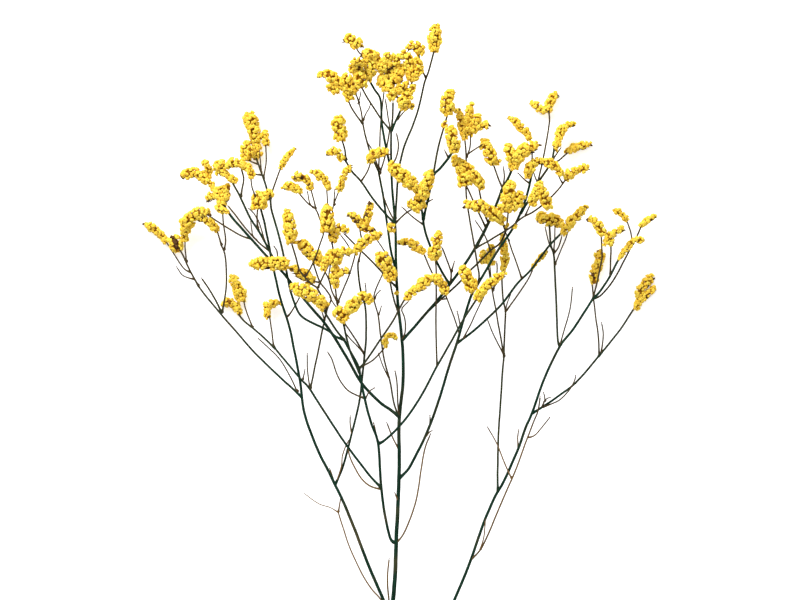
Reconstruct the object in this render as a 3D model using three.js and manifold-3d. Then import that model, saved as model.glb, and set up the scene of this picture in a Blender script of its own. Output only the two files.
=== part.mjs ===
// Dried statice: one cut plant with a main stem, two low side stems, thin wiry branches
// and papery flower spikes, lying on a flat surface. Millimetres, +Z up.
// Y runs from the cut end to the tip, X across the head, Z away from the surface.

import * as THREE from "three";
import { mergeVertices } from "three/addons/utils/BufferGeometryUtils.js";
import Module from "manifold-3d";

const wasm = await Module();
wasm.setup();

// The branched head is 460 mm tall, and 575 steps of the plan grid that places every route.
const HEAD_HEIGHT = 460;
const HEAD_STEPS = 575;
const GRID = HEAD_HEIGHT / HEAD_STEPS;
// The grid point over the middle of the plant's box, where the origin is.
const CENTRE_X = 400;
const CENTRE_Y = 412;
// A route's third value is its height; the bush is this much deeper than those values say.
const DEPTH = 1.3;
// Clear space between two pieces that touch.
const SEAT_GAP = 0.3;

// Faces round a stem, a twig thinner than 1.2 mm, and a spike.
const STEM_SIDES = 5;
const TWIG_SIDES = 4;
const TWIG_WIDTH = 1.2;
const SPIKE_SIDES = 6;
// A spike's thickness from its base to its tip, as a share of its full width.
const SPIKE_SHAPE = [0.5, 1, 0.95, 0.5];

const stemGreen = new THREE.MeshStandardMaterial({
  color: 0x24402f,
  roughness: 0.75,
  metalness: 0,
});
const flowerYellow = new THREE.MeshStandardMaterial({
  color: 0xe9c22c,
  roughness: 0.85,
  metalness: 0,
});

// A stretch of stem from one thickness to another, and a flower spike of one width.
const stem = (base, tip, ...route) => ({
  sides: base < TWIG_WIDTH ? TWIG_SIDES : STEM_SIDES,
  radii: [base / 2, tip / 2],
  route,
});
const spike = (width, ...route) => ({
  sides: SPIKE_SIDES,
  radii: SPIKE_SHAPE.map((share) => (share * width * GRID) / 2),
  route,
});

// The radius at t, from 0 at the base to 1 at the tip.
function radiusAt(radii, t) {
  const step = t * (radii.length - 1);
  const low = Math.min(Math.floor(step), radii.length - 2);
  return THREE.MathUtils.lerp(radii[low], radii[low + 1], step - low);
}

// A grid point as millimetres. Nothing sinks into the surface, so a low route rests on it.
function place([x, y, height], radius) {
  return new THREE.Vector3(
    (x - CENTRE_X) * GRID,
    (CENTRE_Y - y) * GRID,
    Math.max(height * DEPTH, radius),
  );
}

// A cylinder bent along the route, with a ring at each of its points and the given radii.
// grow fattens it all over.
function bent({ sides, radii, route }, grow) {
  const widest = Math.max(...radii);
  const curve = new THREE.CatmullRomCurve3(
    route.map((point) => place(point, widest)),
    false,
    "centripetal",
  );
  const rings = Math.max(radii.length - 1, route.length - 1);
  const geometry = new THREE.CylinderGeometry(1, 1, 1, sides, rings);
  geometry.deleteAttribute("normal");
  geometry.deleteAttribute("uv");

  const whole = route.at(-1).map((value, axis) => value - route[0][axis]);
  const steep = Math.abs(whole[2]) > Math.hypot(whole[0], whole[1]);
  const upward = steep ? new THREE.Vector3(0, 1, 0) : new THREE.Vector3(0, 0, 1);
  const spots = geometry.attributes.position;
  for (let i = 0; i < spots.count; i++) {
    const t = THREE.MathUtils.clamp(spots.getY(i) + 0.5, 0, 1);
    const along = curve.getTangent(t);
    const side = upward.clone().cross(along).normalize();
    const down = side.clone().cross(along);
    const radius = radiusAt(radii, t) + grow;
    const spot = curve
      .getPoint(t)
      .addScaledVector(side, spots.getX(i) * radius)
      .addScaledVector(down, spots.getZ(i) * radius);
    if (t === 0) spot.addScaledVector(along, -grow);
    if (t === 1) spot.addScaledVector(along, grow);
    spots.setXYZ(i, spot.x, spot.y, spot.z);
  }
  return solidFrom(mergeVertices(geometry, 1e-4));
}

function solidFrom(geometry) {
  return new wasm.Manifold(
    new wasm.Mesh({
      numProp: 3,
      vertProperties: geometry.attributes.position.array,
      triVerts: new Uint32Array(geometry.index.array),
    }),
  );
}

function meshFrom(solid, material) {
  const { vertProperties, triVerts } = solid.getMesh();
  const geometry = new THREE.BufferGeometry()
    .setAttribute("position", new THREE.BufferAttribute(vertProperties, 3))
    .setIndex(new THREE.BufferAttribute(triVerts, 1));
  geometry.computeVertexNormals();
  return new THREE.Mesh(geometry, material);
}

const joined = (stretches, grow) =>
  stretches.map((stretch) => bent(stretch, grow)).reduce((all, one) => all.add(one));

const plant = new THREE.Group();
const madeOf = new Map();

// One node: its stretches joined, then cut back to clear the pieces that carry it.
function piece(name, material, carriers, stretches) {
  let solid = joined(stretches, 0);
  for (const carrier of carriers)
    solid = solid.subtract(joined(madeOf.get(carrier), SEAT_GAP));
  madeOf.set(name, stretches);
  const mesh = meshFrom(solid, material);
  mesh.name = name;
  plant.add(mesh);
}

const branch = (name, carriers, stretches) => piece(name, stemGreen, carriers, stretches);
const spray = (name, carriers, stretches) => piece(name, flowerYellow, carriers, stretches);

// The main stem, with the short twigs along it and the three forks at its top.
branch("main_stem", [], [
  stem(3.7, 1.3, [383, 800, 0], [384, 745, 2], [388, 690, 6], [391, 622, 12], [395, 575, 17],
    [396, 543, 20], [398, 500, 25], [399, 460, 30], [399, 420, 34], [403, 380, 38], [402, 340, 41],
    [397.5, 300, 45], [396, 260, 49], [395, 223, 54], [392, 185, 59], [391, 150, 62], [391, 131, 64]),
  stem(1.2, 0.9, [391, 622, 12], [387.5, 585, 15], [389, 560, 16]),
  stem(1, 0.8, [399, 450, 31], [393, 438, 33], [387, 423, 35]),
  stem(1, 0.8, [399.2, 417, 34.3], [398, 405, 38], [397, 383, 41], [395.5, 372, 42]),
  stem(1, 0.8, [391.3, 165, 60.7], [396, 158, 61.5], [398.5, 146, 62], [396.5, 134, 63]),
  stem(1.3, 1.1, [391, 131, 64], [381, 119, 66], [370, 102, 67], [362, 88, 69]),
  stem(1.3, 1.2, [391, 131, 64], [392.5, 117, 66], [393, 103, 67]),
  stem(1.6, 1.5, [391, 131, 64], [396, 120, 65], [402, 108, 66]),
  stem(1.1, 0.9, [396, 543, 20], [405, 531, 21], [416, 500, 24], [421, 470, 27], [425, 448, 29],
    [430, 435, 30.5]),
  stem(1.1, 0.9, [395, 223, 54], [406, 212.5, 52], [420, 205, 50], [431, 199.5, 49.5]),
]);

branch("left_stem", ["main_stem"], [
  stem(2.4, 1.4, [391, 622, 12], [383, 600, 14], [370, 570, 16], [360, 544, 17], [350, 518, 19],
    [340, 495, 20], [330, 475, 21], [315, 444, 23], [304, 412, 25], [300.5, 385, 26], [297, 365, 27],
    [290, 330, 28], [280, 297, 30], [272, 262, 32], [268, 240, 33], [264, 221, 34], [260.5, 208, 35]),
  stem(1, 0.8, [335.2, 485.3, 20.5], [330, 470, 19]),
  stem(1.1, 0.8, [286, 316.4, 28.8], [291, 311, 30], [299, 297, 33]),
]);

branch("right_stem", ["main_stem"], [
  stem(2.3, 1.6, [384, 745, 2], [400, 714, 3.5], [420, 675, 5], [440, 633, 6.5], [455, 600, 8],
    [471, 560, 11], [484, 523, 13.5], [495, 497, 15.8], [504, 481, 17], [517, 452, 19], [526, 427, 21],
    [532, 413, 22], [544, 379, 24], [560, 346, 26], [573, 329, 26], [586, 309, 25], [593, 298, 24]),
  stem(0.9, 0.7, [560, 346, 26], [564, 331, 27], [570, 310, 28], [572.5, 288, 29]),
]);

branch("low_left_twig", ["left_stem", "main_stem"], [
  stem(1.1, 0.9, [386, 608, 13.3], [379, 598, 12.5], [370, 588, 11], [360, 571, 10], [347, 541, 8],
    [338, 513, 6], [330, 508, 5], [318, 504, 4], [304, 494, 3]),
  stem(0.9, 0.7, [338, 513, 6], [339, 506, 7], [340, 499, 7.5]),
]);

// The brown twig that rises on the right, beside the right stem.
branch("right_brown_twig", ["right_stem"], [
  stem(1.2, 0.9, [471, 560, 11], [480, 551, 13], [486, 540, 14.5], [497, 514, 17.5], [507, 490, 20],
    [517, 467, 23.5], [525, 444, 26], [534, 421, 28], [538, 411, 28.7], [540, 397, 29.5]),
  stem(0.8, 0.7, [480, 551, 13], [484, 538, 16], [485.5, 521, 18]),
  stem(0.9, 0.7, [512, 479, 21.7], [504, 461, 22.5], [497, 443, 23], [488, 427, 24]),
  stem(0.9, 0.7, [528, 437, 26.6], [536, 434, 27], [549, 418, 29]),
]);

branch("far_left_branch", ["left_stem"], [
  stem(1.6, 1.2, [301.8, 397, 25.6], [290, 386, 23], [280, 377, 21.5], [262, 360, 18], [252, 350, 16],
    [230, 325, 13], [212, 304, 11], [198, 286, 9]),
  stem(0.9, 0.7, [297.5, 392.6, 24.5], [290, 376, 23], [278, 357, 20], [259, 339, 17]),
  stem(1.2, 1, [221, 313, 12], [225, 290, 13], [225.5, 265, 14], [224, 252, 15], [221, 245, 16]),
  stem(0.9, 0.8, [221, 313, 12], [215, 299, 11], [206, 285, 10.5], [201, 278, 10.5]),
]);

branch("upper_left_branch", ["main_stem"], [
  stem(2, 1.6, [396, 543, 20], [390, 538, 21], [384, 510, 26], [381, 485, 31], [378, 443, 38],
    [371, 422, 42], [365, 399, 46], [360.5, 378, 49], [359, 368, 50.5], [354, 357, 53], [344, 339, 57]),
  stem(1.5, 1.2, [359.4, 372, 50], [352, 355, 54.5], [346.5, 337, 57], [343, 321, 58], [337.5, 303, 59]),
  stem(1.1, 0.9, [381.5, 489, 30.2], [373, 487, 29.5], [366, 483, 28.5], [359, 475, 27.5], [350, 458, 27],
    [348, 448, 27]),
  stem(1, 0.8, [364.8, 398, 46.1], [350, 391, 45], [343, 384, 44], [337, 374, 43], [332, 359, 42],
    [328, 352, 41]),
]);

branch("low_left_branch", ["upper_left_branch"], [
  stem(1.7, 1.4, [381, 487, 30.7], [372, 478, 31], [364, 468, 31.5], [348, 447, 32], [328, 417, 33],
    [310, 389, 33], [301, 379, 32.5], [290, 366, 31], [275, 348, 26]),
  stem(0.9, 0.7, [310, 389, 33], [307.5, 372, 32], [307, 354, 31]),
]);

branch("left_fan_branch", ["main_stem"], [
  stem(2.2, 1.6, [399, 416, 34.5], [390, 409, 36], [380, 402, 37], [362, 383, 38.5], [346, 356, 39.5],
    [328, 327, 40], [313, 309, 40], [297, 290, 39.5], [282, 271, 38], [267, 256, 36.5],
    [251, 238, 33.5], [240, 226, 31], [232, 217, 29], [223, 204.5, 27]),
  stem(1.1, 0.9, [251, 238, 33.5], [241, 235, 31], [224, 225, 27], [208, 214.5, 24]),
]);

branch("left_fan_fork", ["left_fan_branch"], [
  stem(1.6, 1.3, [282, 271, 38], [273, 257, 39], [264, 240, 39.5], [257, 228, 39.5], [250, 217, 39],
    [240, 196, 37], [235, 187, 35], [231.5, 181, 33.5]),
  stem(1.1, 0.9, [269.5, 250, 39.3], [260, 243, 38], [246, 228, 36], [234, 213, 34], [228.5, 206, 32]),
  stem(0.9, 0.7, [277.6, 264, 38.5], [277, 251, 40], [275, 247, 41]),
  stem(0.9, 0.7, [264.5, 241, 39.5], [261, 228, 41], [258, 219, 41.5]),
]);

branch("top_left_branch", ["upper_left_branch"], [
  stem(1.6, 1.4, [344, 339, 57], [336, 336, 55], [330, 331, 53], [323, 327, 51], [308, 320, 48],
    [300, 314, 46.5], [295, 304, 45.5], [290, 288, 44.5], [286, 268, 43], [284, 258, 42],
    [280, 240, 38], [275, 222, 33], [271, 208, 28], [270, 199, 25]),
]);

branch("middle_left_twig", ["main_stem"], [
  stem(1.3, 1, [397, 287, 46.3], [389, 279, 46], [371, 260, 47], [362, 251, 47.5], [353, 242, 49],
    [344.5, 233.5, 54]),
]);

branch("inner_twig", ["main_stem", "left_fan_branch"], [
  stem(1.2, 0.8, [399.3, 417, 34.2], [394, 403, 34], [390, 382, 33], [384, 358, 32], [380.5, 335, 31],
    [378, 315, 30], [374, 299, 29], [376, 288, 28], [383, 272, 27]),
  stem(0.8, 0.6, [389, 378, 33], [384, 368, 33.5], [379, 354, 34]),
]);

branch("top_branch", ["main_stem"], [
  stem(1.7, 1.4, [396.5, 275, 47.3], [394, 262, 47.5], [390.5, 248, 48], [386, 216, 48.5],
    [383, 195, 49.5], [378.5, 170, 51]),
  stem(1.3, 1.1, [378.5, 170, 51], [371, 155, 52], [366, 138, 53], [363, 124, 54]),
  stem(1, 0.8, [378.5, 170, 51], [379.5, 145, 53], [381, 118, 53.5], [384, 92, 55]),
  stem(1, 0.8, [379.5, 174, 50.8], [385, 155, 52.5], [389.5, 130, 54], [388, 118, 55], [385.5, 100, 56]),
  stem(1, 0.8, [395.8, 222.3, 53.8], [388, 208, 50], [382, 192, 49.8]),
]);

branch("right_branch", ["main_stem"], [
  stem(2, 1.6, [398.5, 478, 27.7], [407, 470, 28], [413, 460, 29.5], [426, 434, 32.5], [438, 402, 35.5],
    [449, 366, 38.5], [458, 338, 41], [465, 314, 43], [471, 295, 45], [478, 283, 46], [490, 262, 47],
    [500, 246, 47], [513, 227, 47], [521, 211, 47], [527, 193, 47], [531.5, 174, 47]),
  stem(0.9, 0.7, [529.5, 183, 47], [524, 179, 47], [519, 174, 47.5]),
]);

branch("centre_right_branch", ["main_stem"], [
  stem(2, 1.8, [402, 339, 41.1], [410, 331, 41.5], [430, 308, 42], [440, 296, 42.5], [450, 283, 43.3],
    [465, 263, 44], [475, 247, 45], [485, 228, 46], [494, 209, 47], [501, 191, 49]),
  stem(1.1, 0.9, [450, 283, 43.3], [451, 272, 46], [447, 260, 48], [442, 247.5, 50]),
  stem(0.9, 0.7, [451, 272, 46], [454, 262, 47]),
]);

branch("under_branch", ["centre_right_branch"], [
  stem(1.3, 1.2, [422, 317, 41.9], [436, 303, 40], [446, 294, 40], [460, 281, 40.5], [470, 270, 41],
    [480, 260, 41.5], [490, 250, 42], [500, 242, 42.3], [506, 229.5, 45]),
  stem(0.9, 0.7, [490, 250, 42], [487, 240, 41], [482, 230, 41], [476, 221, 42]),
]);

branch("centre_twig", ["centre_right_branch"], [
  stem(1.6, 1.6, [449.5, 284, 43.3], [444, 275, 45], [436, 260, 48], [428, 240, 52], [424, 226, 55],
    [423, 219, 56.5]),
  stem(0.9, 0.7, [424, 225, 55], [412, 216, 55], [403, 207.5, 55]),
]);

branch("lower_right_branch", ["right_stem"], [
  stem(1.5, 1.2, [498, 491, 16.2], [498, 465, 18], [499, 430, 20], [502, 380, 23], [504, 357, 24.4]),
]);

branch("far_right_branch", ["right_stem"], [
  stem(1.6, 1.4, [532, 413, 22], [542, 407, 21], [557, 397, 19], [572, 386, 17], [583, 375, 15.5],
    [599, 356, 12.3]),
  stem(0.9, 0.7, [542, 407, 21], [545, 399, 23], [544, 393, 24]),
]);

// Flower sprays: the last fork of a branch with the spikes it carries.
spray("far_left_spray", ["far_left_branch", "left_fan_branch"], [
  stem(1.2, 1, [198, 286, 9], [190, 272, 8], [181, 253, 6.5], [176, 246, 5]),
  stem(0.9, 0.8, [190, 272, 8], [183, 268, 7], [175, 257, 5], [166, 243, 2.8], [162, 237, 2.5]),
  stem(0.9, 0.8, [185.4, 262, 7.2], [184, 248, 8], [184, 240, 7]),
  stem(0.8, 0.7, [194, 279, 8.5], [182, 275, 8], [176, 267, 8]),
  spike(14, [178, 250, 2], [174, 242, 2], [171, 235, 2]),
  spike(8, [166, 241, 0], [157, 231, 0], [150, 226, 0], [143, 222, 0]),
  spike(7, [184, 241, 7], [183, 234, 7], [185, 228, 8]),
  spike(10, [184, 233, 8], [184, 224, 10], [190, 216, 13], [198, 210, 17], [207, 209, 20]),
  spike(8, [217, 231, 18], [212, 224, 18], [204, 219, 18], [197, 216, 17]),
  stem(1, 0.9, [221, 245, 16], [217, 231, 18]),
]);

spray("low_left_spray", ["low_left_branch"], [
  stem(1.4, 1.2, [275, 348, 26], [259, 333, 19], [244, 321, 11], [238, 314, 4.5]),
  stem(1, 0.8, [273.5, 346.5, 25.4], [271, 328, 19], [268, 312, 9.5]),
  stem(1, 0.8, [252, 327.5, 15.3], [245, 309, 9], [243, 300, 4]),
  spike(11, [243, 302, 2], [241, 292, 0], [237, 283, 0], [234, 274, 0]),
  spike(9, [242, 317, 5], [238, 309, 2], [230, 304, 0], [223, 308, 0]),
  spike(8.5, [268, 317, 11], [266, 308, 8], [271, 303, 6], [280, 302, 5]),
]);

spray("left_crest_spray", ["left_fan_branch", "left_fan_fork", "far_left_branch"], [
  stem(1.2, 1, [223, 204.5, 27], [217, 195, 24], [212, 187, 21]),
  spike(11, [229, 187, 26], [220, 190, 24], [213, 194, 23], [206, 198, 22]),
  spike(10, [223, 205, 27], [220, 197, 25], [227, 198, 28]),
  spike(7, [229, 212, 30], [221, 209, 28], [216, 205, 26]),
  spike(9, [212, 188, 21], [209, 178, 19], [200, 173, 17], [190, 171, 15], [180, 174, 13]),
  spike(8, [210, 177, 19], [205, 165, 20], [202, 160, 20]),
  stem(1, 0.8, [223.2, 250, 15.3], [225, 240, 18], [223, 222, 24], [222, 209, 28]),
]);

spray("left_top_spray", ["left_fan_fork"], [
  stem(1.2, 1.1, [240.5, 197, 37.1], [242, 188, 37], [243.5, 178, 37], [241, 168, 37]),
  spike(9, [237, 183, 33], [230, 177, 33], [222, 172, 32], [214, 168, 31]),
  spike(8, [230, 165, 34], [220, 162, 32], [213, 165, 31]),
  spike(10, [248, 169, 37], [240, 163, 36.5], [227, 163, 34.5]),
]);

spray("left_inner_spray", ["left_stem", "left_fan_fork"], [
  stem(1, 0.9, [257.4, 228.7, 39.5], [257, 214, 40], [258, 206, 39]),
  spike(14, [260, 209, 37], [256, 202, 38], [261, 195, 38]),
  spike(9, [259, 196, 38], [268, 192, 38], [274, 190, 38]),
  stem(1, 0.8, [257, 200, 38], [252, 187, 41.5], [251, 176, 43.5]),
  spike(8, [252, 180, 43.5], [250, 171, 43.5], [247, 163, 43.5]),
]);

spray("top_left_spray", ["top_left_branch"], [
  stem(1.4, 1.2, [270, 199, 25], [264, 180, 18], [261, 172, 15], [255, 156, 7]),
  stem(0.9, 0.8, [263, 178, 17.2], [265.5, 160, 12], [265, 142, 8]),
  stem(0.9, 0.7, [261.5, 174, 15.8], [255, 173, 15], [250, 170, 14]),
  stem(1, 0.8, [257.7, 163, 10.6], [250, 160, 7], [246, 157, 5]),
  stem(1.1, 0.9, [270, 199, 25], [272, 190, 24], [278, 173, 23], [281, 166, 22]),
  spike(10, [246, 159, 4], [245, 149, 2], [247, 140, 2]),
  spike(10, [254, 158, 6], [256, 148, 3], [255, 138, 2]),
  spike(12, [256, 139, 1], [253, 128, 0], [251, 118, 0], [250, 111, 0]),
  spike(7, [266, 144, 8], [265, 136, 7], [264, 128, 6]),
  spike(7, [280, 168, 22], [284, 160, 21], [290, 152, 20], [295, 147, 19]),
]);

spray("left_arch_spray", ["top_left_branch", "left_fan_branch", "left_fan_fork"], [
  stem(1.3, 1.2, [285.7, 266, 43], [287, 265, 47], [288, 264, 50]),
  spike(12, [289, 264, 50], [277, 263, 51], [265, 263, 51], [251, 263, 50]),
]);

spray("upper_left_arch_spray", ["upper_left_branch", "top_left_branch"], [
  stem(1.4, 1.3, [344.5, 339.8, 56.8], [336, 329, 59], [326, 313, 61], [322, 305, 62]),
  spike(13, [328, 308, 61], [320, 298, 62], [310, 291, 62], [300, 287, 62], [291, 284, 62]),
]);

spray("left_tall_spray", ["upper_left_arch_spray"], [
  stem(1.2, 1.1, [326, 313, 61], [326, 306, 57.5], [324, 300, 54], [317, 287, 52], [312, 284, 51],
    [302, 273, 50], [299, 268, 50], [296, 257, 50], [292, 243, 50]),
  stem(1, 0.9, [305, 276, 50.3], [310, 269, 53], [316, 256, 56], [320, 244, 57], [324, 230, 58],
    [320, 218, 59], [316, 209, 60], [308, 203, 60], [297, 190, 60]),
  stem(0.9, 0.8, [316, 209, 60], [315, 204, 60], [310, 185, 61.5]),
  spike(13, [292, 243, 50], [290, 228, 50], [289, 218, 50], [287, 209, 50]),
  spike(8, [301, 193, 60], [295, 188, 60], [288, 185, 60], [283, 188, 60]),
  spike(9, [312, 190, 61], [308, 181, 62], [301, 176, 62], [293, 178, 62]),
]);

spray("left_centre_spray", ["left_tall_spray", "upper_left_arch_spray"], [
  stem(1.1, 1, [317.5, 288, 52.2], [325, 272, 53], [330, 261, 54], [333, 249, 56], [332, 243, 59],
    [329, 232, 64]),
  stem(0.9, 0.8, [332, 243, 59], [329, 222, 61], [328, 205, 61], [327, 188, 61]),
  stem(0.9, 0.8, [332, 243, 59], [333, 222, 62], [333, 208, 62], [340, 189, 62]),
  stem(0.8, 0.7, [334, 206, 62], [335, 191, 63]),
  spike(13, [327, 232, 65], [328, 220, 66], [327, 204, 66]),
  spike(10, [334, 241, 61], [334, 232, 62], [340, 228, 62], [348, 230, 62]),
  spike(8, [330, 190, 61], [325, 180, 62], [319, 174, 62], [311, 171, 62]),
  spike(7, [340, 191, 62], [342, 180, 64], [346, 172, 65], [351, 165, 66]),
]);

spray("low_centre_spray", ["low_left_branch"], [
  stem(1.2, 1, [310, 389, 33], [314, 370, 33], [319, 346, 33.5], [325, 316, 34], [328, 306, 35],
    [331, 298, 36], [326, 289, 37], [320, 281, 38], [314, 265, 40.5], [312, 251, 43]),
  spike(12, [323, 260, 43], [315, 252, 43], [307, 245, 43], [300, 239, 43]),
  stem(1, 0.9, [321, 282, 37.8], [310, 280, 36]),
  spike(12, [314, 282, 36], [306, 276, 36], [299, 271, 36], [291, 266, 36]),
]);

spray("centre_fork_spray", ["upper_left_branch"], [
  stem(1.1, 1, [337.5, 303, 59], [336, 290, 61], [335, 282, 62]),
  stem(1, 0.9, [337, 300, 59.5], [332, 290, 60.5], [329, 279, 61.5], [323, 267, 62]),
  stem(1, 0.9, [337.5, 303, 59], [343, 290, 59], [350, 272, 57], [356, 251, 55]),
  spike(8, [335, 287, 61.5], [335, 275, 62.5], [335, 264, 63.5]),
  spike(9, [335, 274, 62.5], [344, 271, 63], [349, 270, 63]),
  spike(8, [323, 270, 62], [327, 258, 62.5], [332, 249, 63]),
  spike(13, [333, 264, 64], [337, 254, 65], [343, 251, 65], [351, 252, 65]),
  spike(10, [355, 253, 55], [362, 243, 55], [371, 237, 55], [382, 233, 55]),
]);

spray("left_mid_spray", ["left_stem"], [
  stem(1.6, 1.2, [335, 484.3, 20.4], [342, 468, 22], [348, 447, 23.5], [353, 427, 24.5], [359, 402, 26],
    [362, 378, 27.5], [364, 358, 29.5], [366, 335, 33], [365, 306, 37], [361, 292, 39],
    [358, 270, 41], [358, 262, 42]),
  stem(0.9, 0.7, [351.5, 433, 24.3], [350, 424, 24], [350, 416, 23]),
  stem(1.2, 0.9, [364.3, 354, 30], [355, 338, 31], [345, 323, 33]),
  stem(1, 0.9, [358, 262, 42], [361, 250, 43], [363, 243, 45], [361, 235, 48], [359, 221, 54]),
  spike(8, [361, 224, 53], [354, 216, 54], [348, 213, 54]),
  spike(9, [364, 225, 52], [368, 214, 51], [371, 203, 49]),
  spike(7, [357, 222, 53], [366, 228, 52], [375, 229, 51]),
]);

spray("centre_low_spray", ["main_stem"], [
  stem(1.2, 1.1, [398.7, 312, 43.8], [395, 303, 47], [392, 292, 52], [390, 282, 56]),
  spike(13, [391, 283, 56], [388, 272, 57], [383, 262, 57], [376, 251, 57]),
]);

spray("bridge_spray", ["upper_left_branch", "main_stem"], [
  stem(1.4, 1.1, [359, 368, 50.5], [366, 360, 51], [382, 336, 52], [394, 318, 52.5], [404, 299.5, 53.5],
    [408, 296, 54.5]),
  stem(1, 0.9, [361, 366, 50.7], [372, 360, 50], [382, 350, 48], [386, 344, 47]),
  spike(6, [385, 347, 47], [386, 337, 46], [391, 334, 46], [397, 338, 46]),
  spike(10, [406, 299, 55], [412, 291, 55], [420, 286, 55], [428, 279, 55], [435, 275, 55]),
  spike(9, [446, 294, 53], [443, 285, 54], [438, 279, 55], [432, 276, 55]),
]);

spray("left_wing_spray", ["upper_left_branch"], [
  stem(1.3, 1.2, [344, 325, 57.8], [345, 318, 61], [346, 312, 64]),
  spike(12, [344, 322, 63], [338, 314, 64], [333, 310, 64]),
  spike(11, [345, 314, 64], [352, 304, 65], [360, 297, 65], [369, 296, 65]),
]);

spray("crossing_spray", ["upper_left_branch", "centre_right_branch"], [
  stem(1.7, 1.3, [378, 443, 38], [385, 439, 40], [398, 427, 43], [412, 409, 44.5], [425, 388, 46],
    [437, 365, 48], [450, 342, 51], [462, 321, 53.5], [474, 302, 55.5], [478, 296, 57]),
  stem(1.1, 0.9, [437, 365, 48], [436, 345, 48], [436, 300, 48], [436, 282, 48.5], [436, 268, 51.5],
    [435, 258, 57]),
  spike(9, [476, 299, 57], [482, 290, 58], [488, 284, 58], [496, 278, 58], [505, 272, 58]),
  spike(11, [434, 262, 57], [435, 250, 58], [437, 240, 58], [439, 231, 58]),
]);

spray("under_spray", ["centre_right_branch"], [
  stem(1, 0.9, [443.7, 291.2, 42.8], [436, 280, 40], [431, 270, 39], [426, 258, 39], [422, 249, 39]),
  spike(9, [424, 252, 39], [416, 245, 39], [408, 241, 39], [398, 240, 39]),
]);

spray("upper_centre_spray", ["centre_twig", "main_stem"], [
  stem(1.6, 1.8, [423, 220, 56.3], [425, 211, 58], [428, 198, 60], [433, 176, 62], [440, 168, 63.5],
    [448, 158, 65.5], [454, 148, 69]),
  stem(1.3, 1.1, [432.5, 177, 62], [438, 148, 63.5], [443, 130, 65], [448, 112, 67]),
  spike(12, [448, 115, 66], [447, 106, 67], [448, 98, 67], [452, 90, 67]),
  spike(7, [444, 127, 65], [445, 121, 66]),
  spike(12.5, [454, 152, 69], [453, 142, 70], [451, 134, 70], [449, 128, 70]),
]);

spray("centre_crest_spray", ["centre_twig", "upper_centre_spray"], [
  stem(1.6, 1.5, [423, 219, 56.5], [422, 212, 60], [421, 206, 63], [421, 196, 67]),
  spike(13, [423, 209, 63], [418, 203, 63], [410, 203, 63]),
  spike(13, [421, 198, 67], [425, 187, 68], [429, 177, 68], [430, 170, 68]),
  spike(8, [420, 195, 68], [416, 187, 69], [414, 180, 69]),
  spike(12, [415, 185, 69], [406, 176, 70], [398, 169, 70], [390, 162, 70]),
]);

spray("shoulder_spray", ["main_stem"], [
  stem(1.5, 1.3, [395, 223, 54.2], [386, 214, 55.5], [374, 200, 57], [361, 181, 60], [352, 171, 61],
    [346, 161, 62], [341, 157, 62.5]),
  stem(1.2, 1.1, [346, 161, 62], [345, 150, 63], [341, 137, 65]),
  stem(1, 0.9, [361, 181, 60], [367, 172, 62], [371, 161, 63]),
  spike(13, [341, 141, 65], [340, 130, 65], [338, 116, 65]),
  spike(9, [343, 160, 63], [338, 153, 63], [333, 151, 63], [328, 153, 63]),
  spike(10, [370, 163, 63], [373, 155.5, 64], [380, 153, 64], [388, 151.5, 64]),
]);

spray("top_outer_spray", ["top_branch"], [
  stem(1.2, 1, [363, 124, 54], [352, 108, 56], [347, 96, 58]),
  stem(1, 0.9, [363, 124, 54], [361, 110, 56], [355, 90, 60]),
  spike(11, [350, 100, 57], [348, 93, 58], [342, 85, 58], [335, 79, 58], [326, 74, 58], [318, 75, 58]),
  spike(12, [357, 92, 60], [350, 83, 60], [342, 76, 60]),
]);

spray("top_left_cluster", ["main_stem", "top_branch"], [
  stem(1.6, 1.5, [391.5, 170, 60.3], [389, 161, 59.5], [384, 137, 58.5], [381.5, 120, 58.5],
    [380.3, 99, 60], [375, 90, 62], [368, 78, 66]),
  stem(1.2, 1.1, [362, 88, 69], [361, 82, 70]),
  stem(1, 0.9, [367.6, 57.4, 68], [360, 54, 68], [354, 44, 68]),
  stem(1, 0.9, [367.6, 57.4, 68], [360, 62, 68.5], [357, 69, 70.5]),
  spike(13, [366, 80, 65], [370, 70, 66], [377, 62, 67]),
  spike(11, [362, 88, 70], [361, 80, 71], [357, 73, 71]),
  spike(10, [357, 72, 70], [357, 67, 73], [357, 64, 77]),
  spike(11, [379, 62, 67], [371, 55, 68], [362, 54, 68]),
  spike(10, [358, 46, 68], [352, 39, 68], [345, 37, 68]),
  spike(10, [377, 69, 66.5], [384, 67, 68.5], [392, 65, 70]),
  spike(8, [383, 65, 69], [388, 57, 70], [395, 57, 71]),
]);

spray("top_middle_cluster", ["main_stem", "top_branch", "top_left_cluster"], [
  stem(1.2, 1.1, [402, 108, 66], [405, 100, 67], [409, 90, 67], [413, 80, 67]),
  spike(12, [385, 91, 64], [388, 83, 65], [399, 78, 67]),
  spike(11, [393, 100, 68], [391, 92, 69], [388, 84, 68]),
  spike(13, [401, 109, 67], [405, 100, 68], [409, 91, 68]),
  stem(1, 1, [392, 96, 68.6], [403, 99, 68]),
  spike(12, [414, 82, 68], [411, 70, 68], [408, 60, 68], [403, 53, 67]),
  spike(8, [399, 81, 68], [402, 71, 69]),
  spike(8, [414, 80, 69], [418, 73, 71], [419, 66, 71]),
]);

spray("top_tip_spray", ["main_stem"], [
  stem(1.4, 1.2, [395, 219, 54.4], [396.5, 200, 56], [398.5, 172, 59], [404, 147, 61], [412, 127, 62],
    [418, 110, 62.5], [424, 84, 63], [426.5, 77, 63], [429, 70, 63], [434, 51, 62]),
  stem(1, 0.9, [426, 79, 63], [423, 72, 63], [420, 62, 64], [418.5, 52, 64.5]),
  spike(12, [434, 53, 62], [434, 40, 61], [435, 26, 60]),
  spike(8, [419, 54, 64.5], [416, 47, 65], [408, 46, 65]),
]);

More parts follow.
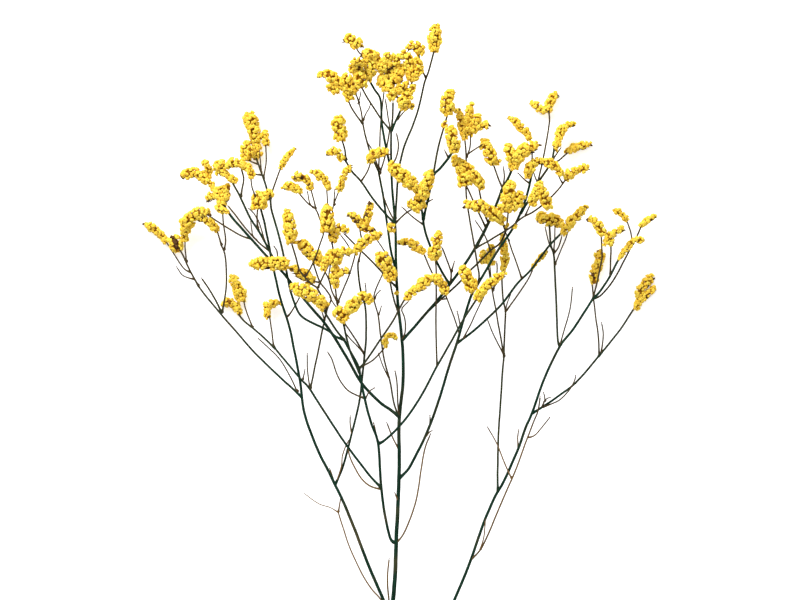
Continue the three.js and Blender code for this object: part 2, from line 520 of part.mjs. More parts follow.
spray("right_tall_spray", ["right_branch"], [
  stem(1.2, 1, [477, 285, 46], [479, 276, 48], [477, 262, 49.5], [475, 250, 50.5], [470, 222, 52],
    [466, 193, 53], [466, 155, 55], [464, 134, 57]),
  stem(0.9, 0.8, [466, 158, 54.9], [470, 146, 55], [470, 130, 56]),
  stem(0.9, 0.8, [466, 155, 55], [473, 150, 55], [482, 144, 55.5]),
  spike(9, [464, 139, 56], [462, 128, 57], [460, 118, 57], [457, 109, 57]),
  spike(9, [469, 135, 56], [470, 122, 57], [469, 112, 57], [472, 103, 57]),
  spike(9, [472, 132, 57], [476, 122, 58], [478, 114, 58]),
  spike(9, [473, 126, 57], [481, 126, 58], [488, 124, 58]),
]);

spray("right_lean_spray", ["centre_right_branch"], [
  stem(1.1, 1, [485.5, 227, 46.1], [477, 209, 50], [472, 198, 54], [465, 183, 60]),
  stem(1.1, 1, [488, 222, 46.4], [484, 212, 49], [479, 190, 56], [478, 180, 60]),
  spike(17, [464, 184, 60], [464, 178, 62], [463, 172, 63]),
  spike(9, [482, 188, 60], [477, 178, 62], [470, 172, 62], [462, 165, 61], [453, 157, 58.5]),
]);

spray("right_crest_spray", ["under_branch", "right_branch", "centre_right_branch"], [
  stem(1.1, 1, [506, 229.5, 45], [503, 223, 48.5], [501, 216, 53]),
  spike(11, [503, 219, 52], [495, 211, 56], [486, 206, 58], [475, 203, 59], [463, 202, 59]),
  spike(8, [497, 212, 56], [502, 207, 57], [507, 204, 57]),
  spike(12, [505, 212, 56], [507, 200, 57], [509, 190, 58], [510, 181, 58]),
  spike(10, [512, 210, 57], [518, 200, 57], [521, 191, 57]),
  stem(1, 0.9, [506.6, 204, 57], [515, 205, 57]),
]);

spray("upper_right_spray", ["centre_right_branch"], [
  stem(1.8, 1.6, [501, 191, 49], [509, 175, 50], [514, 163, 52]),
  stem(1.1, 1, [502.5, 187.5, 49.2], [498, 178, 50.5], [492, 161, 53]),
  stem(0.9, 0.8, [502.8, 187, 49.3], [504, 176, 51], [503, 168, 52]),
  spike(11, [514, 169, 51], [513, 158, 52], [509, 150, 52], [508, 143, 52]),
  spike(11, [515, 163, 52], [522, 152, 53], [529, 148, 53], [537, 143, 53]),
  spike(11.5, [493, 165, 52], [490, 155, 53], [486, 147, 53], [483, 139, 53]),
]);

spray("right_arch_spray", ["right_branch"], [
  stem(1.4, 1.3, [531.5, 174, 47], [530, 167, 49.5]),
  spike(9, [526, 177, 49], [529, 168, 50], [535, 162, 50], [545, 160, 50]),
  spike(9, [562, 175, 49], [557, 168, 50], [551, 164, 50], [541, 160, 50]),
  stem(1, 0.9, [530.5, 169, 48.8], [532, 155, 46], [530.5, 146, 45], [529.5, 137, 46]),
  spike(7, [530, 140, 45.5], [526, 132, 46], [520, 126, 46], [514, 121, 46], [508, 116, 46]),
]);

spray("far_upper_right_spray", ["right_branch"], [
  stem(1.7, 1.4, [520.3, 213, 47], [525, 205, 44], [529, 199, 42], [538, 182, 36], [548, 167, 29],
    [552, 160, 25], [555, 146, 18]),
  stem(1.1, 1, [537.5, 183, 36.3], [542, 163, 29], [546, 145, 20], [550, 120, 9], [549, 108, 5]),
  stem(1.1, 1, [552, 160, 25], [558, 160, 20], [564, 155, 12], [570, 150, 5]),
  stem(0.9, 0.7, [552, 160, 25], [556, 154, 25], [561, 147, 26]),
  spike(7.5, [554, 149, 18], [557, 140, 14], [559, 130, 11], [564, 124, 9], [575, 122, 7]),
  spike(8, [567, 152, 6], [575, 148, 2], [582, 146, 0], [592, 143, 0]),
  spike(8, [549, 109, 5], [551, 100, 1], [557, 93, 0]),
  spike(7.5, [550, 110, 5], [541, 109, 2], [537, 105, 0], [532, 102, 0]),
]);

spray("right_wing_spray", ["centre_right_branch"], [
  stem(1.2, 1, [475, 247.5, 45], [487, 241, 47.5], [500, 233, 50], [510, 227, 51], [522, 217, 51],
    [533, 211, 50], [546, 201, 47], [558, 189, 44], [567, 177, 41]),
  stem(1.1, 1, [545, 202, 47.3], [547, 205, 51], [547, 203, 53.5]),
  spike(10, [530, 204, 54], [536, 192, 55], [541, 181, 55]),
  spike(10, [549, 208, 53], [545, 198, 55], [540, 186, 55]),
  spike(9, [566, 180, 42], [572, 172, 41], [578, 170, 40], [583, 168, 39], [589, 166, 38]),
]);

spray("right_long_spray", ["right_branch"], [
  stem(1.6, 1.4, [456.5, 342.5, 40.6], [470, 333, 39], [488, 317, 37], [503, 302, 35], [517, 283, 33],
    [530, 270, 31], [543, 253, 29], [551, 243, 27.5], [562, 232, 25]),
  stem(0.9, 0.7, [463, 338.5, 40], [470, 325, 41.5], [476, 312, 43], [486, 291, 45]),
  stem(1, 0.8, [521.7, 278.3, 32.3], [518, 267, 36], [512, 250, 41], [508.8, 240, 43.3]),
  spike(10, [562, 233, 25], [568, 224, 24], [575, 218, 23], [582, 210, 22], [587, 205, 21]),
]);

spray("right_inner_spray", ["right_stem"], [
  stem(1.4, 1.2, [560, 346, 26], [558, 338, 25.5], [557, 310, 24], [555.5, 280, 22], [554.5, 256, 20],
    [551, 243, 18], [550, 226, 15], [550, 217, 13]),
  stem(0.9, 0.8, [554, 253, 19.5], [559, 246, 18], [562, 236, 17]),
  spike(12, [562, 220, 12], [554, 215, 13], [546, 215, 13], [538, 212, 13]),
]);

spray("far_right_spray", ["far_right_branch"], [
  stem(1.4, 1.2, [599, 356, 12.3], [611, 342, 9], [622, 328, 5.5], [631, 314, 2], [640, 301, 0]),
  stem(1.1, 0.9, [600, 355, 12], [599, 335, 9], [597, 318, 6], [594, 293, 3], [593, 280, 1]),
  stem(0.9, 0.7, [602, 352, 11.5], [604, 335, 12], [602.5, 323, 12]),
  stem(1.4, 1.4, [636, 306, 1], [639, 296, 1]),
  spike(8, [634, 310, 1], [641, 300, 0], [648, 294, 0], [657, 286, 0]),
  spike(9, [638, 302, 1], [640, 291, 0], [646, 283, 0], [653, 273, 0]),
  spike(10.5, [594, 285, 1], [592, 275, 0], [595, 265, 0], [597, 258, 0], [595, 250, 0]),
]);

spray("right_tip_spray", ["right_stem"], [
  stem(1.6, 1.4, [593, 298, 24], [600, 291, 24], [610, 276, 23], [619, 259, 21], [626, 250, 19.5]),
  stem(1.1, 1, [610.5, 275, 23], [611, 262, 24], [611, 244, 25], [607, 242, 26]),
  stem(1.2, 1, [593, 298, 24], [602, 294, 22], [615, 278, 18], [626, 258, 14], [633, 244, 12],
    [639, 233, 10], [643, 223, 8.5]),
  stem(0.9, 0.8, [633, 244, 12], [632, 232, 11], [627, 217, 10]),
  stem(1.1, 0.9, [593, 298, 24], [597, 283, 25], [602, 259, 26], [602, 246, 26], [601.5, 232, 26]),
  spike(6, [619, 259, 21], [627, 248, 19], [637, 237, 17]),
  spike(7, [634, 239, 17], [644, 239, 16]),
  spike(7, [604, 245, 26], [609, 239, 26], [615, 233, 26], [624, 228, 26]),
  spike(6, [629, 220, 10], [622, 212, 10], [615, 208, 10]),
  spike(7, [641, 226, 9], [648, 220, 8], [657, 214, 8]),
  spike(8, [603, 236, 26], [598, 227, 26], [594, 221, 26], [589, 219, 26]),
]);

spray("lower_right_spray", ["lower_right_branch"], [
  stem(1.2, 1.1, [504, 357, 24.4], [504.5, 335, 25.5], [505.5, 315, 27], [505, 308, 27.3], [503, 298, 28],
    [502, 279, 29], [503, 266, 30]),
  stem(1.1, 0.9, [504, 355, 24.5], [501, 338, 26], [498, 322, 27], [495, 305, 28], [492, 289, 30],
    [488, 263, 32]),
  stem(0.9, 0.7, [504, 354, 24.6], [494, 335, 25], [488, 320, 26]),
  stem(1, 0.8, [505.4, 311, 27.2], [520, 291, 26], [530, 275, 24.5], [534, 265, 24]),
  stem(0.9, 0.8, [492.5, 291, 29.7], [497, 272, 30], [497, 262, 30]),
  spike(9, [489, 267, 32], [485, 256, 32], [488, 244, 32]),
  spike(10, [503, 270, 30], [504, 258, 31], [502, 248, 31], [499, 231, 31]),
  spike(5, [532, 268, 24], [537, 261, 23], [548, 250, 22]),
]);

spray("right_small_spray", ["right_branch", "centre_right_branch"], [
  stem(1.2, 1.2, [471, 294.5, 45], [473, 291, 48], [473, 287, 51]),
  spike(11.5, [474, 292, 50.5], [470, 282, 52], [466, 273, 52], [462, 264, 52]),
]);

export default plant;
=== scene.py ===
# Dried statice lying on a pale surface, seen from above: ridged green stems, wiry brown twigs
# and curved spikes of small papery yellow flowers.

import math
import random

import bpy
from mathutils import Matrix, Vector


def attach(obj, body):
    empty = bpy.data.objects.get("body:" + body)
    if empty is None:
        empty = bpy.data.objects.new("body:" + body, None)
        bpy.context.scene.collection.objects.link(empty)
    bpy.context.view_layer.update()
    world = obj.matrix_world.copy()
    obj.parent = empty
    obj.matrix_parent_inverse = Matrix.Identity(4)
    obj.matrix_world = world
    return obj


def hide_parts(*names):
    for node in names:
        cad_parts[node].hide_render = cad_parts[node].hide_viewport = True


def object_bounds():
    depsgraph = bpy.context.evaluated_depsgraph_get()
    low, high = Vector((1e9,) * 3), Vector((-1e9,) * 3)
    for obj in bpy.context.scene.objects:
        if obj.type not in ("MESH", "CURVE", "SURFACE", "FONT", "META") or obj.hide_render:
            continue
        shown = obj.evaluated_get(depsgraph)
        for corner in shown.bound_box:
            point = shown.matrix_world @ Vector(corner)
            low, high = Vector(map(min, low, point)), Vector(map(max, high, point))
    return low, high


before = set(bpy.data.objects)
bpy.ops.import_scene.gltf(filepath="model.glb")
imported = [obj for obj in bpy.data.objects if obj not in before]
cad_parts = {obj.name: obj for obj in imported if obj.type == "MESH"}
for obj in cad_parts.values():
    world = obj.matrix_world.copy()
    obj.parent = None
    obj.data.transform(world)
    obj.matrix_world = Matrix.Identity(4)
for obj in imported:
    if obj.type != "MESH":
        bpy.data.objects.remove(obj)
cadBox = [list(corner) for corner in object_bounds()]
print("frame loaded:", len(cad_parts), "nodes")

# Every route is a row of points on a plan grid, each with a height, as in the CAD.
plan = {
    "step": 0.460 / 575,  # metres: the head's height over its grid steps
    "centreX": 400,
    "centreY": 412,
    "depth": 0.0013,  # metres for each unit of height
}


def place(point, lowest):
    x, y, height = point
    return Vector((
        (x - plan["centreX"]) * plan["step"],
        (plan["centreY"] - y) * plan["step"],
        max(height * plan["depth"], lowest),
    ))


# Short forms for building node trees. Each gives back the socket that comes out.

def add(tree, kind, inputs=None, **settings):
    node = tree.nodes.new(kind)
    for key, value in settings.items():
        setattr(node, key, value)
    for key, value in (inputs or {}).items():
        shown = [socket for socket in node.inputs if socket.enabled]
        if isinstance(key, int):
            socket = shown[key]
        else:
            socket = next(found for found in shown if found.name == key)
        if isinstance(value, bpy.types.NodeSocket):
            tree.links.new(value, socket)
        else:
            socket.default_value = value
    return next((socket for socket in node.outputs if socket.enabled), None)


def maths(tree, how, *values):
    return add(tree, "ShaderNodeMath", dict(enumerate(values)), operation=how)


def vectors(tree, how, *values):
    return add(tree, "ShaderNodeVectorMath", dict(enumerate(values)), operation=how)


def scaled(tree, vector, amount):
    return add(tree, "ShaderNodeVectorMath", {0: vector, "Scale": amount}, operation="SCALE")


def parted(tree, vector):
    return add(tree, "ShaderNodeSeparateXYZ", {"Vector": vector}).node.outputs


def ramp(tree, value, fromLow, fromHigh, toLow, toHigh):
    values = dict(enumerate((value, fromLow, fromHigh, toLow, toHigh)))
    return add(tree, "ShaderNodeMapRange", values, interpolation_type="SMOOTHSTEP")


def noise(tree, vector, scale, detail=2.0, output="Fac"):
    values = {"Vector": vector, "Scale": scale, "Detail": detail}
    return add(tree, "ShaderNodeTexNoise", values).node.outputs[output]


# A geometry tree takes the pieces it uses, and each size and seed in its look by name.
def newTree(name, pieces, look):
    tree = bpy.data.node_groups.new(name, "GeometryNodeTree")
    kinds = {int: "Int", float: "Float", tuple: "Vector"}
    sizes = {label: kinds[type(value)] for label, value in look.items()}
    tree.interface.new_socket("Geometry", in_out="OUTPUT", socket_type="NodeSocketGeometry")
    for label, kind in {"Geometry": "Geometry", **pieces, **sizes}.items():
        tree.interface.new_socket(label, in_out="INPUT", socket_type="NodeSocket" + kind)
    return tree, tree.nodes.new("NodeGroupInput").outputs


fullTurn = 6.28  # radians, for the random spins


# Each random draw of a tree has a number of its own, added to the tree's seed.
def chance(tree, low, high, seed, draw):
    values = {"Min": low, "Max": high, "Seed": maths(tree, "ADD", seed, draw)}
    return add(tree, "FunctionNodeRandomValue", values)


def spread(tree, amount, seed, draw):
    return chance(tree, maths(tree, "MULTIPLY", amount, -1.0), amount, seed, draw)


def kept(tree, geometry, label, value):
    node = add(tree, "GeometryNodeCaptureAttribute", {"Geometry": geometry}).node
    kind = "VECTOR" if value.type == "VECTOR" else "FLOAT"
    node.capture_items.new(kind, label)
    tree.links.new(value, node.inputs[label])
    return node.outputs["Geometry"], node.outputs[label]


def stored(tree, geometry, label, value, domain="POINT"):
    kind = "FLOAT_VECTOR" if value.type == "VECTOR" else "FLOAT"
    values = {"Geometry": geometry, "Name": label, "Value": value}
    return add(tree, "GeometryNodeStoreNamedAttribute", values, data_type=kind, domain=domain)


def moved(tree, geometry, offset):
    return add(tree, "GeometryNodeSetPosition", {"Geometry": geometry, "Offset": offset})


def putAt(tree, geometry, spot):
    return add(tree, "GeometryNodeSetPosition", {"Geometry": geometry, "Position": spot})


def chosen(tree, switch, ifNot, ifSo, kind):
    values = {"Switch": switch, "False": ifNot, "True": ifSo}
    return add(tree, "GeometryNodeSwitch", values, input_type=kind)


def smoothRoute(tree, route, ringStep):
    node = add(tree, "GeometryNodeObjectInfo", {"Object": route}).node
    curve = {"Curve": node.outputs["Geometry"]}
    smooth = add(tree, "GeometryNodeCurveSplineType", curve, spline_type="CATMULL_ROM")
    values = {"Curve": smooth, "Length": ringStep}
    rings = add(tree, "GeometryNodeResampleCurve", values, mode="LENGTH")
    return add(tree, "GeometryNodeSetCurveNormal", {"Curve": rings}, mode="Z_UP")


def circle(tree, sides, radius):
    values = {"Resolution": sides, "Radius": radius}
    return add(tree, "GeometryNodeCurvePrimitiveCircle", values, mode="RADIUS")


def tube(tree, route, profile, width):
    values = {"Curve": route, "Profile Curve": profile, "Scale": width, "Fill Caps": True}
    return add(tree, "GeometryNodeCurveToMesh", values)


def scattered(tree, points, shapes, turn, size, where, seed):
    values = {"Collection": shapes, "Separate Children": True, "Reset Children": True}
    instances = add(tree, "GeometryNodeCollectionInfo", values)
    values = {"Min": 0, "Max": 99, "Seed": seed}  # the index wraps round the shapes there are
    values = {
        "Points": points,
        "Selection": where,
        "Instance": instances,
        "Pick Instance": True,
        "Instance Index": add(tree, "FunctionNodeRandomValue", values, data_type="INT"),
        "Rotation": turn,
        "Scale": size,
    }
    return add(tree, "GeometryNodeInstanceOnPoints", values)


# Stands a shape up along a direction and spins it about that.
def standing(tree, direction, spin):
    values = {"Vector": direction}
    aimed = add(tree, "FunctionNodeAlignRotationToVector", values, axis="Z")
    values = {"Axis": (0, 0, 1), "Angle": spin}
    turned = add(tree, "FunctionNodeAxisAngleToRotation", values)
    values = {0: aimed, 1: turned}
    return add(tree, "FunctionNodeRotateRotation", values, rotation_space="LOCAL")


# Lays a flat shape along a direction with its back turned outward.
def laidOn(tree, direction, outward):
    aimed = add(tree, "FunctionNodeAlignRotationToVector", {"Vector": direction}, axis="Z")
    values = {"Rotation": aimed, "Vector": outward}
    return add(tree, "FunctionNodeAlignRotationToVector", values, axis="Y", pivot_axis="Z")


def finishTree(tree, earlier, parts):
    group = tree.nodes.new("GeometryNodeJoinGeometry")
    for geometry, material in parts:
        real = add(tree, "GeometryNodeRealizeInstances", {"Geometry": geometry})
        smooth = add(tree, "GeometryNodeSetShadeSmooth", {"Geometry": real})
        values = {"Geometry": smooth, "Material": material}
        tree.links.new(add(tree, "GeometryNodeSetMaterial", values), group.inputs[0])
    tree.links.new(earlier, group.inputs[0])
    tree.links.new(group.outputs[0], tree.nodes.new("NodeGroupOutput").inputs[0])


# Materials.

def newMaterial(name, look):
    material = bpy.data.materials.new(name)
    material.use_nodes = True
    shader = material.node_tree.nodes["Principled BSDF"]
    shader.inputs["Roughness"].default_value = look["roughness"]
    shader.inputs["Specular IOR Level"].default_value = look["shine"]
    return material, shader


def attribute(tree, name, output="Fac"):
    return add(tree, "ShaderNodeAttribute", attribute_name=name).node.outputs[output]


def onSurface(tree):
    return tree.nodes.new("ShaderNodeTexCoord").outputs["Object"]


def colourRamp(tree, value, stops):
    node = add(tree, "ShaderNodeValToRGB", {"Fac": value}).node
    stretch = node.color_ramp.elements
    while len(stretch) < len(stops):
        stretch.new(0.5)
    for element, (spot, colour) in zip(stretch, stops):
        element.position = spot
        element.color = (*colour, 1)
    return node.outputs["Color"]


def mixed(tree, share, first, second):
    node = tree.nodes.new("ShaderNodeMix")
    node.data_type = "RGBA"
    for index, value in ((0, share), (6, first), (7, second)):  # factor and the two colours
        if isinstance(value, bpy.types.NodeSocket):
            tree.links.new(value, node.inputs[index])
        else:
            node.inputs[index].default_value = (*value, 1)
    return node.outputs[2]


def bumped(tree, shader, height, look):
    values = {"Strength": look["grainStrength"], "Distance": look["grainDepth"], "Height": height}
    tree.links.new(add(tree, "ShaderNodeBump", values), shader.inputs["Normal"])


petalLook = {
    "base": (0.0, (0.10, 0.035, 0.006)),  # each colour with its place from the foot to the rim
    "throat": (0.3, (0.52, 0.23, 0.005)),
    "side": (0.6, (0.90, 0.64, 0.022)),
    "rim": (0.95, (0.97, 0.76, 0.12)),
    "shade": (0.84, 0.40, 0.012),  # what an older, duller flower is turned towards
    "shadeMost": 0.5,
    "patches": 60,  # noise scale of the older and fresher patches
    "patchAge": 0.5,  # a flower's age is its patch's and its own, less a start
    "ownAge": 0.6,
    "ageStart": -0.25,
    "ageFull": 0.75,
    "grain": 1500,  # noise scale of the bump
    "grainStrength": 0.35,
    "grainDepth": 0.0003,
    "roughness": 0.7,
    "shine": 0.08,
}


def petalMaterial(look):
    material, shader = newMaterial("yellow petals", look)
    tree = material.node_tree
    stops = [look[name] for name in ("base", "throat", "side", "rim")]
    fresh = colourRamp(tree, attribute(tree, "lobe"), stops)
    tint = attribute(tree, "tint")
    own = maths(tree, "MULTIPLY_ADD", tint, look["ownAge"], look["ageStart"])
    patches = noise(tree, onSurface(tree), look["patches"])
    age = maths(tree, "MULTIPLY_ADD", patches, look["patchAge"], own)
    dull = ramp(tree, age, 0.0, look["ageFull"], 0.0, look["shadeMost"])
    tree.links.new(mixed(tree, dull, fresh, look["shade"]), shader.inputs["Base Color"])
    bumped(tree, shader, noise(tree, onSurface(tree), look["grain"]), look)
    return material


bractLook = {
    "dark": (0.045, 0.02, 0.009),
    "pale": (0.17, 0.085, 0.030),
    "mottle": 260,  # noise scale
    "mottleFrom": 0.35,  # the noise values between which dark turns to pale
    "mottleTo": 0.7,
    "grain": 2200,
    "grainStrength": 0.4,
    "grainDepth": 0.0002,
    "roughness": 0.7,
    "shine": 0.08,
}


def bractMaterial(look):
    material, shader = newMaterial("brown bracts", look)
    tree = material.node_tree
    mottle = noise(tree, onSurface(tree), look["mottle"])
    paleness = ramp(tree, mottle, look["mottleFrom"], look["mottleTo"], 0.0, 1.0)
    colour = mixed(tree, paleness, look["dark"], look["pale"])
    tree.links.new(colour, shader.inputs["Base Color"])
    bumped(tree, shader, noise(tree, onSurface(tree), look["grain"]), look)
    return material


barkLook = {
    "stem": (0.003, 0.013, 0.006),
    "stemPale": (0.014, 0.058, 0.034),
    "twig": (0.036, 0.026, 0.012),
    "twigPale": (0.110, 0.074, 0.034),
    "dryTwig": (0.17, 0.10, 0.04),
    "dryFrom": 0.005,  # twigs turn a dry golden brown over this stretch of the plant's length
    "dryTo": -0.035,
    "thin": 0.00045,  # radius, in metres, at which a twig is all brown
    "thick": 0.00080,  # and at which a stem is all green
    "streaks": 2.2,  # noise scale
    "streakStretch": (1.6, 1.6, 45),  # across the bark twice, and along it in metres
    "streakFrom": 0.35,
    "streakTo": 0.72,
    "patches": 35,  # noise scale of the places where a green stem has browned
    "patchFrom": 0.25,
    "patchTo": 0.5,
    "patchLeast": 0.55,  # the green that is left there
    "grainStrength": 0.5,
    "grainDepth": 0.0003,
    "cut": (0.42, 0.36, 0.22),  # the pale wood of the cut end
    "cutDepth": 0.0001,
    "roughness": 0.65,
    "shine": 0.04,
}


def barkMaterial(look):
    material, shader = newMaterial("ridged bark", look)
    tree = material.node_tree
    grain = vectors(tree, "MULTIPLY", attribute(tree, "grain", "Vector"), look["streakStretch"])
    streaks = noise(tree, grain, look["streaks"], 4)
    streak = ramp(tree, streaks, look["streakFrom"], look["streakTo"], 0.0, 1.0)
    green = mixed(tree, streak, look["stem"], look["stemPale"])
    brown = mixed(tree, streak, look["twig"], look["twigPale"])
    along = parted(tree, onSurface(tree))["Y"]
    low = ramp(tree, along, look["dryTo"], look["dryFrom"], 1.0, 0.0)
    brown = mixed(tree, low, brown, look["dryTwig"])
    thick = ramp(tree, attribute(tree, "thick"), look["thin"], look["thick"], 0.0, 1.0)
    patches = noise(tree, onSurface(tree), look["patches"])
    fresh = ramp(tree, patches, look["patchFrom"], look["patchTo"], look["patchLeast"], 1.0)
    skin = mixed(tree, maths(tree, "MULTIPLY", thick, fresh), brown, green)
    cutEnd = cadBox[0][1] + look["cutDepth"]
    cut = maths(tree, "LESS_THAN", along, cutEnd)
    tree.links.new(mixed(tree, cut, skin, look["cut"]), shader.inputs["Base Color"])
    bumped(tree, shader, streaks, look)
    return material


petals = petalMaterial(petalLook)
bracts = bractMaterial(bractLook)
bark = barkMaterial(barkLook)

# The small shapes that repeat, each one unit long with its foot at the origin.

def meshFrom(name, spots, faces, shades=None):
    mesh = bpy.data.meshes.new(name)
    mesh.from_pydata(spots, [], faces)
    if shades:
        mesh.attributes.new("lobe", "FLOAT", "POINT").data.foreach_set("value", shades)
    return bpy.data.objects.new(name, mesh)


def onRing(radius, height, count, index):
    angle = math.tau * index / count
    return (radius * math.cos(angle), radius * math.sin(angle), height)


def ring(radius, height, count, turn=0.0):
    return [onRing(radius, height, count, index + turn) for index in range(count)]


floretLook = {
    "variants": 4,
    "seed": 11,
    "foot": (0.10, 0.0),  # radius and height
    "waist": (0.30, 0.35),
    "lobe": (0.66, 0.80),
    "notch": (0.40, 0.66),
    "inside": (0.27, 0.98),
    "throat": 0.66,
    "uneven": 0.22,
    "twist": 0.2,  # how far a lobe strays from its place round the rim
    "shades": [0.0] * 5 + [0.32] * 5 + [1.0, 0.65] * 5 + [0.95] * 5 + [0.32],  # foot to throat
}


# A dried flower: a narrow foot, a waist, five rounded lobes, and a throat that dips inside.
def floret(look, seed):
    dice = random.Random(seed)
    spots = ring(*look["foot"], 5) + ring(*look["waist"], 5)
    for index in range(10):
        radius, height = look["notch" if index % 2 else "lobe"]
        stretch = 1 + dice.uniform(-1, 1) * look["uneven"]
        turn = dice.uniform(-look["twist"], look["twist"])
        lift = height * (1 + dice.uniform(-0.5, 0.5) * look["uneven"])
        spots.append(onRing(radius * stretch, lift, 10, index + turn))
    for x, y, height in ring(*look["inside"], 5):
        stretch = 1 + dice.uniform(-1, 1) * look["uneven"]
        spots.append((x * stretch, y * stretch, height * (1 + (stretch - 1) * 0.4)))
    spots.append((0, 0, look["throat"]))
    faces = [(4, 3, 2, 1, 0)]
    for index in range(5):
        after = (index + 1) % 5
        faces.append((index, after, 5 + after, 5 + index))
    for index in range(5):
        after = (index + 1) % 5
        lobe, notch, nextLobe = 10 + 2 * index, 11 + 2 * index, 10 + 2 * after
        inner, nextInner = 20 + index, 20 + after
        faces.append((5 + index, notch, lobe))
        faces.append((5 + index, 5 + after, notch))
        faces.append((5 + after, nextLobe, notch))
        faces.append((lobe, notch, inner))
        faces.append((notch, nextInner, inner))
        faces.append((notch, nextLobe, nextInner))
        faces.append((inner, nextInner, 25))
    return meshFrom("floret", spots, faces, look["shades"])


scaleLook = {
    "halfWidth": 0.4,
    "back": 0.13,  # how far the back stands out
    "front": 0.3,  # and the front, as a share of that
}


# A leaf outline between a raised back and a flatter front.
def scale(look):
    width = look["halfWidth"]
    outline = [(0, 0), (0.8 * width, 0.22), (width, 0.55), (0, 1), (-width, 0.55),
        (-0.8 * width, 0.22)]
    spots = [(across, 0, along) for across, along in outline]
    spots += [(0, look["back"], 0.5), (0, -look["front"] * look["back"], 0.45)]
    faces = []
    for index in range(6):
        after = (index + 1) % 6
        faces.append((after, index, 6))
        faces.append((index, after, 7))
    return meshFrom("scale", spots, faces)


budLook = {
    "radius": 0.28,
    "widest": 0.4,  # the height at which it has that radius
    "foot": 0.3,  # the radius at the foot, as a share of it
}


def bud(look):
    spots = ring(look["foot"] * look["radius"], 0, 5)
    spots += ring(look["radius"], look["widest"], 5, 0.5) + [(0, 0, 1)]
    faces = [(4, 3, 2, 1, 0)]
    for index in range(5):
        after = (index + 1) % 5
        faces.append((index, after, 5 + index))
        faces.append((after, 5 + after, 5 + index))
        faces.append((5 + index, 5 + after, 10))
    return meshFrom("bud", spots, faces)


def shelf(name, shapes):
    group = bpy.data.collections.new(name)
    for shape in shapes:
        group.objects.link(shape)
    return group


florets = shelf("florets", [
    floret(floretLook, floretLook["seed"] + index) for index in range(floretLook["variants"])
])
scales = shelf("scales", [scale(scaleLook)])
buds = shelf("buds", [bud(budLook)])
print("materials and small shapes made")

# Stems: a ridged tube along each route, flared where it leaves its branch, with a brown
# scale under the fork and a bud on the tip. Lengths are in metres.

stemLook = {
    "Ring Step": 0.0022,
    "Sides": 10,
    "Girth": 1.1,  # the bark's radius, as a share of the CAD stem's
    "Bark Depth": 0.00018,  # and what is added to it
    "Ridge": 0.16,  # the depth of the grooves, as a share of the radius
    "Wobble": 0.0009,  # how far a stem strays from its route
    "Wobble Scale": 45.0,
    "Flare": 0.5,
    "Flare Length": 0.007,
    "Scale Size": 0.0030,
    "Scale Lean": 0.35,
    "Bud Size": 0.0022,
    "Smallest": 0.7,  # scales and buds vary between these shares of their size
    "Largest": 1.2,
    "Seed": 3,
}


def strayed(tree, rings, given):
    spot = add(tree, "GeometryNodeInputPosition")
    drift = noise(tree, spot, given["Wobble Scale"], output="Color")
    drift = vectors(tree, "SUBTRACT", drift, (0.5, 0.5, 0.5))
    return moved(tree, rings, scaled(tree, drift, given["Wobble"]))


# Every second corner of the circle is pulled in, which makes a groove along the stem.
def ridgedProfile(tree, given):
    spot = add(tree, "GeometryNodeInputPosition")
    odd = maths(tree, "MODULO", add(tree, "GeometryNodeInputIndex"), 2.0)
    valley = maths(tree, "MULTIPLY", odd, given["Ridge"])
    inward = scaled(tree, spot, maths(tree, "SUBTRACT", 1.0, valley))
    profile = putAt(tree, circle(tree, given["Sides"], 1.0), inward)
    return kept(tree, profile, "across", spot)


def ridgedTubes(tree, rings, given):
    along = tree.nodes.new("GeometryNodeSplineParameter").outputs["Length"]
    rings, along = kept(tree, rings, "along", along)
    rings, radius = kept(tree, rings, "radius", add(tree, "GeometryNodeInputRadius"))
    flare = ramp(tree, along, 0.0, given["Flare Length"], given["Flare"], 0.0)
    width = maths(tree, "MULTIPLY", radius, maths(tree, "ADD", flare, given["Girth"]))
    width = maths(tree, "ADD", width, given["Bark Depth"])
    profile, across = ridgedProfile(tree, given)
    tubes = tube(tree, rings, profile, width)
    length = add(tree, "ShaderNodeCombineXYZ", {"Z": along})
    tubes = stored(tree, tubes, "grain", vectors(tree, "ADD", across, length))
    return stored(tree, tubes, "thick", radius)


def stemEnds(tree, rings, given):
    ends = add(tree, "GeometryNodeCurveEndpointSelection", {"Start Size": 0, "End Size": 1})
    starts = add(tree, "GeometryNodeCurveEndpointSelection", {"Start Size": 1, "End Size": 0})
    points, tangent = kept(tree, rings, "tangent", add(tree, "GeometryNodeInputTangent"))
    points, normal = kept(tree, points, "normal", add(tree, "GeometryNodeInputNormal"))
    points, atEnd = kept(tree, points, "at end", ends)
    points, atStart = kept(tree, points, "at start", starts)
    points = add(tree, "GeometryNodeCurveToPoints", {"Curve": points}, mode="EVALUATED")

    seed = given["Seed"]
    share = chance(tree, given["Smallest"], given["Largest"], seed, 1)
    turn = standing(tree, tangent, chance(tree, 0.0, fullTurn, seed, 2))
    size = maths(tree, "MULTIPLY", given["Bud Size"], share)
    tips = scattered(tree, points, given["Buds"], turn, size, atEnd, seed)
    lean = scaled(tree, normal, given["Scale Lean"])
    turn = standing(tree, vectors(tree, "ADD", tangent, lean), 0.0)
    size = maths(tree, "MULTIPLY", given["Scale Size"], share)
    forks = scattered(tree, points, given["Scales"], turn, size, atStart, seed)
    return tips, forks


def stemTree():
    pieces = {"Route": "Object", "Bark": "Material", "Brown": "Material",
        "Scales": "Collection", "Buds": "Collection"}
    tree, given = newTree("stem tubes", pieces, stemLook)
    rings = strayed(tree, smoothRoute(tree, given["Route"], given["Ring Step"]), given)
    tips, forks = stemEnds(tree, rings, given)
    finishTree(tree, given["Geometry"], [
        (ridgedTubes(tree, rings, given), given["Bark"]),
        (tips, given["Brown"]),
        (forks, given["Brown"]),
    ])
    return tree


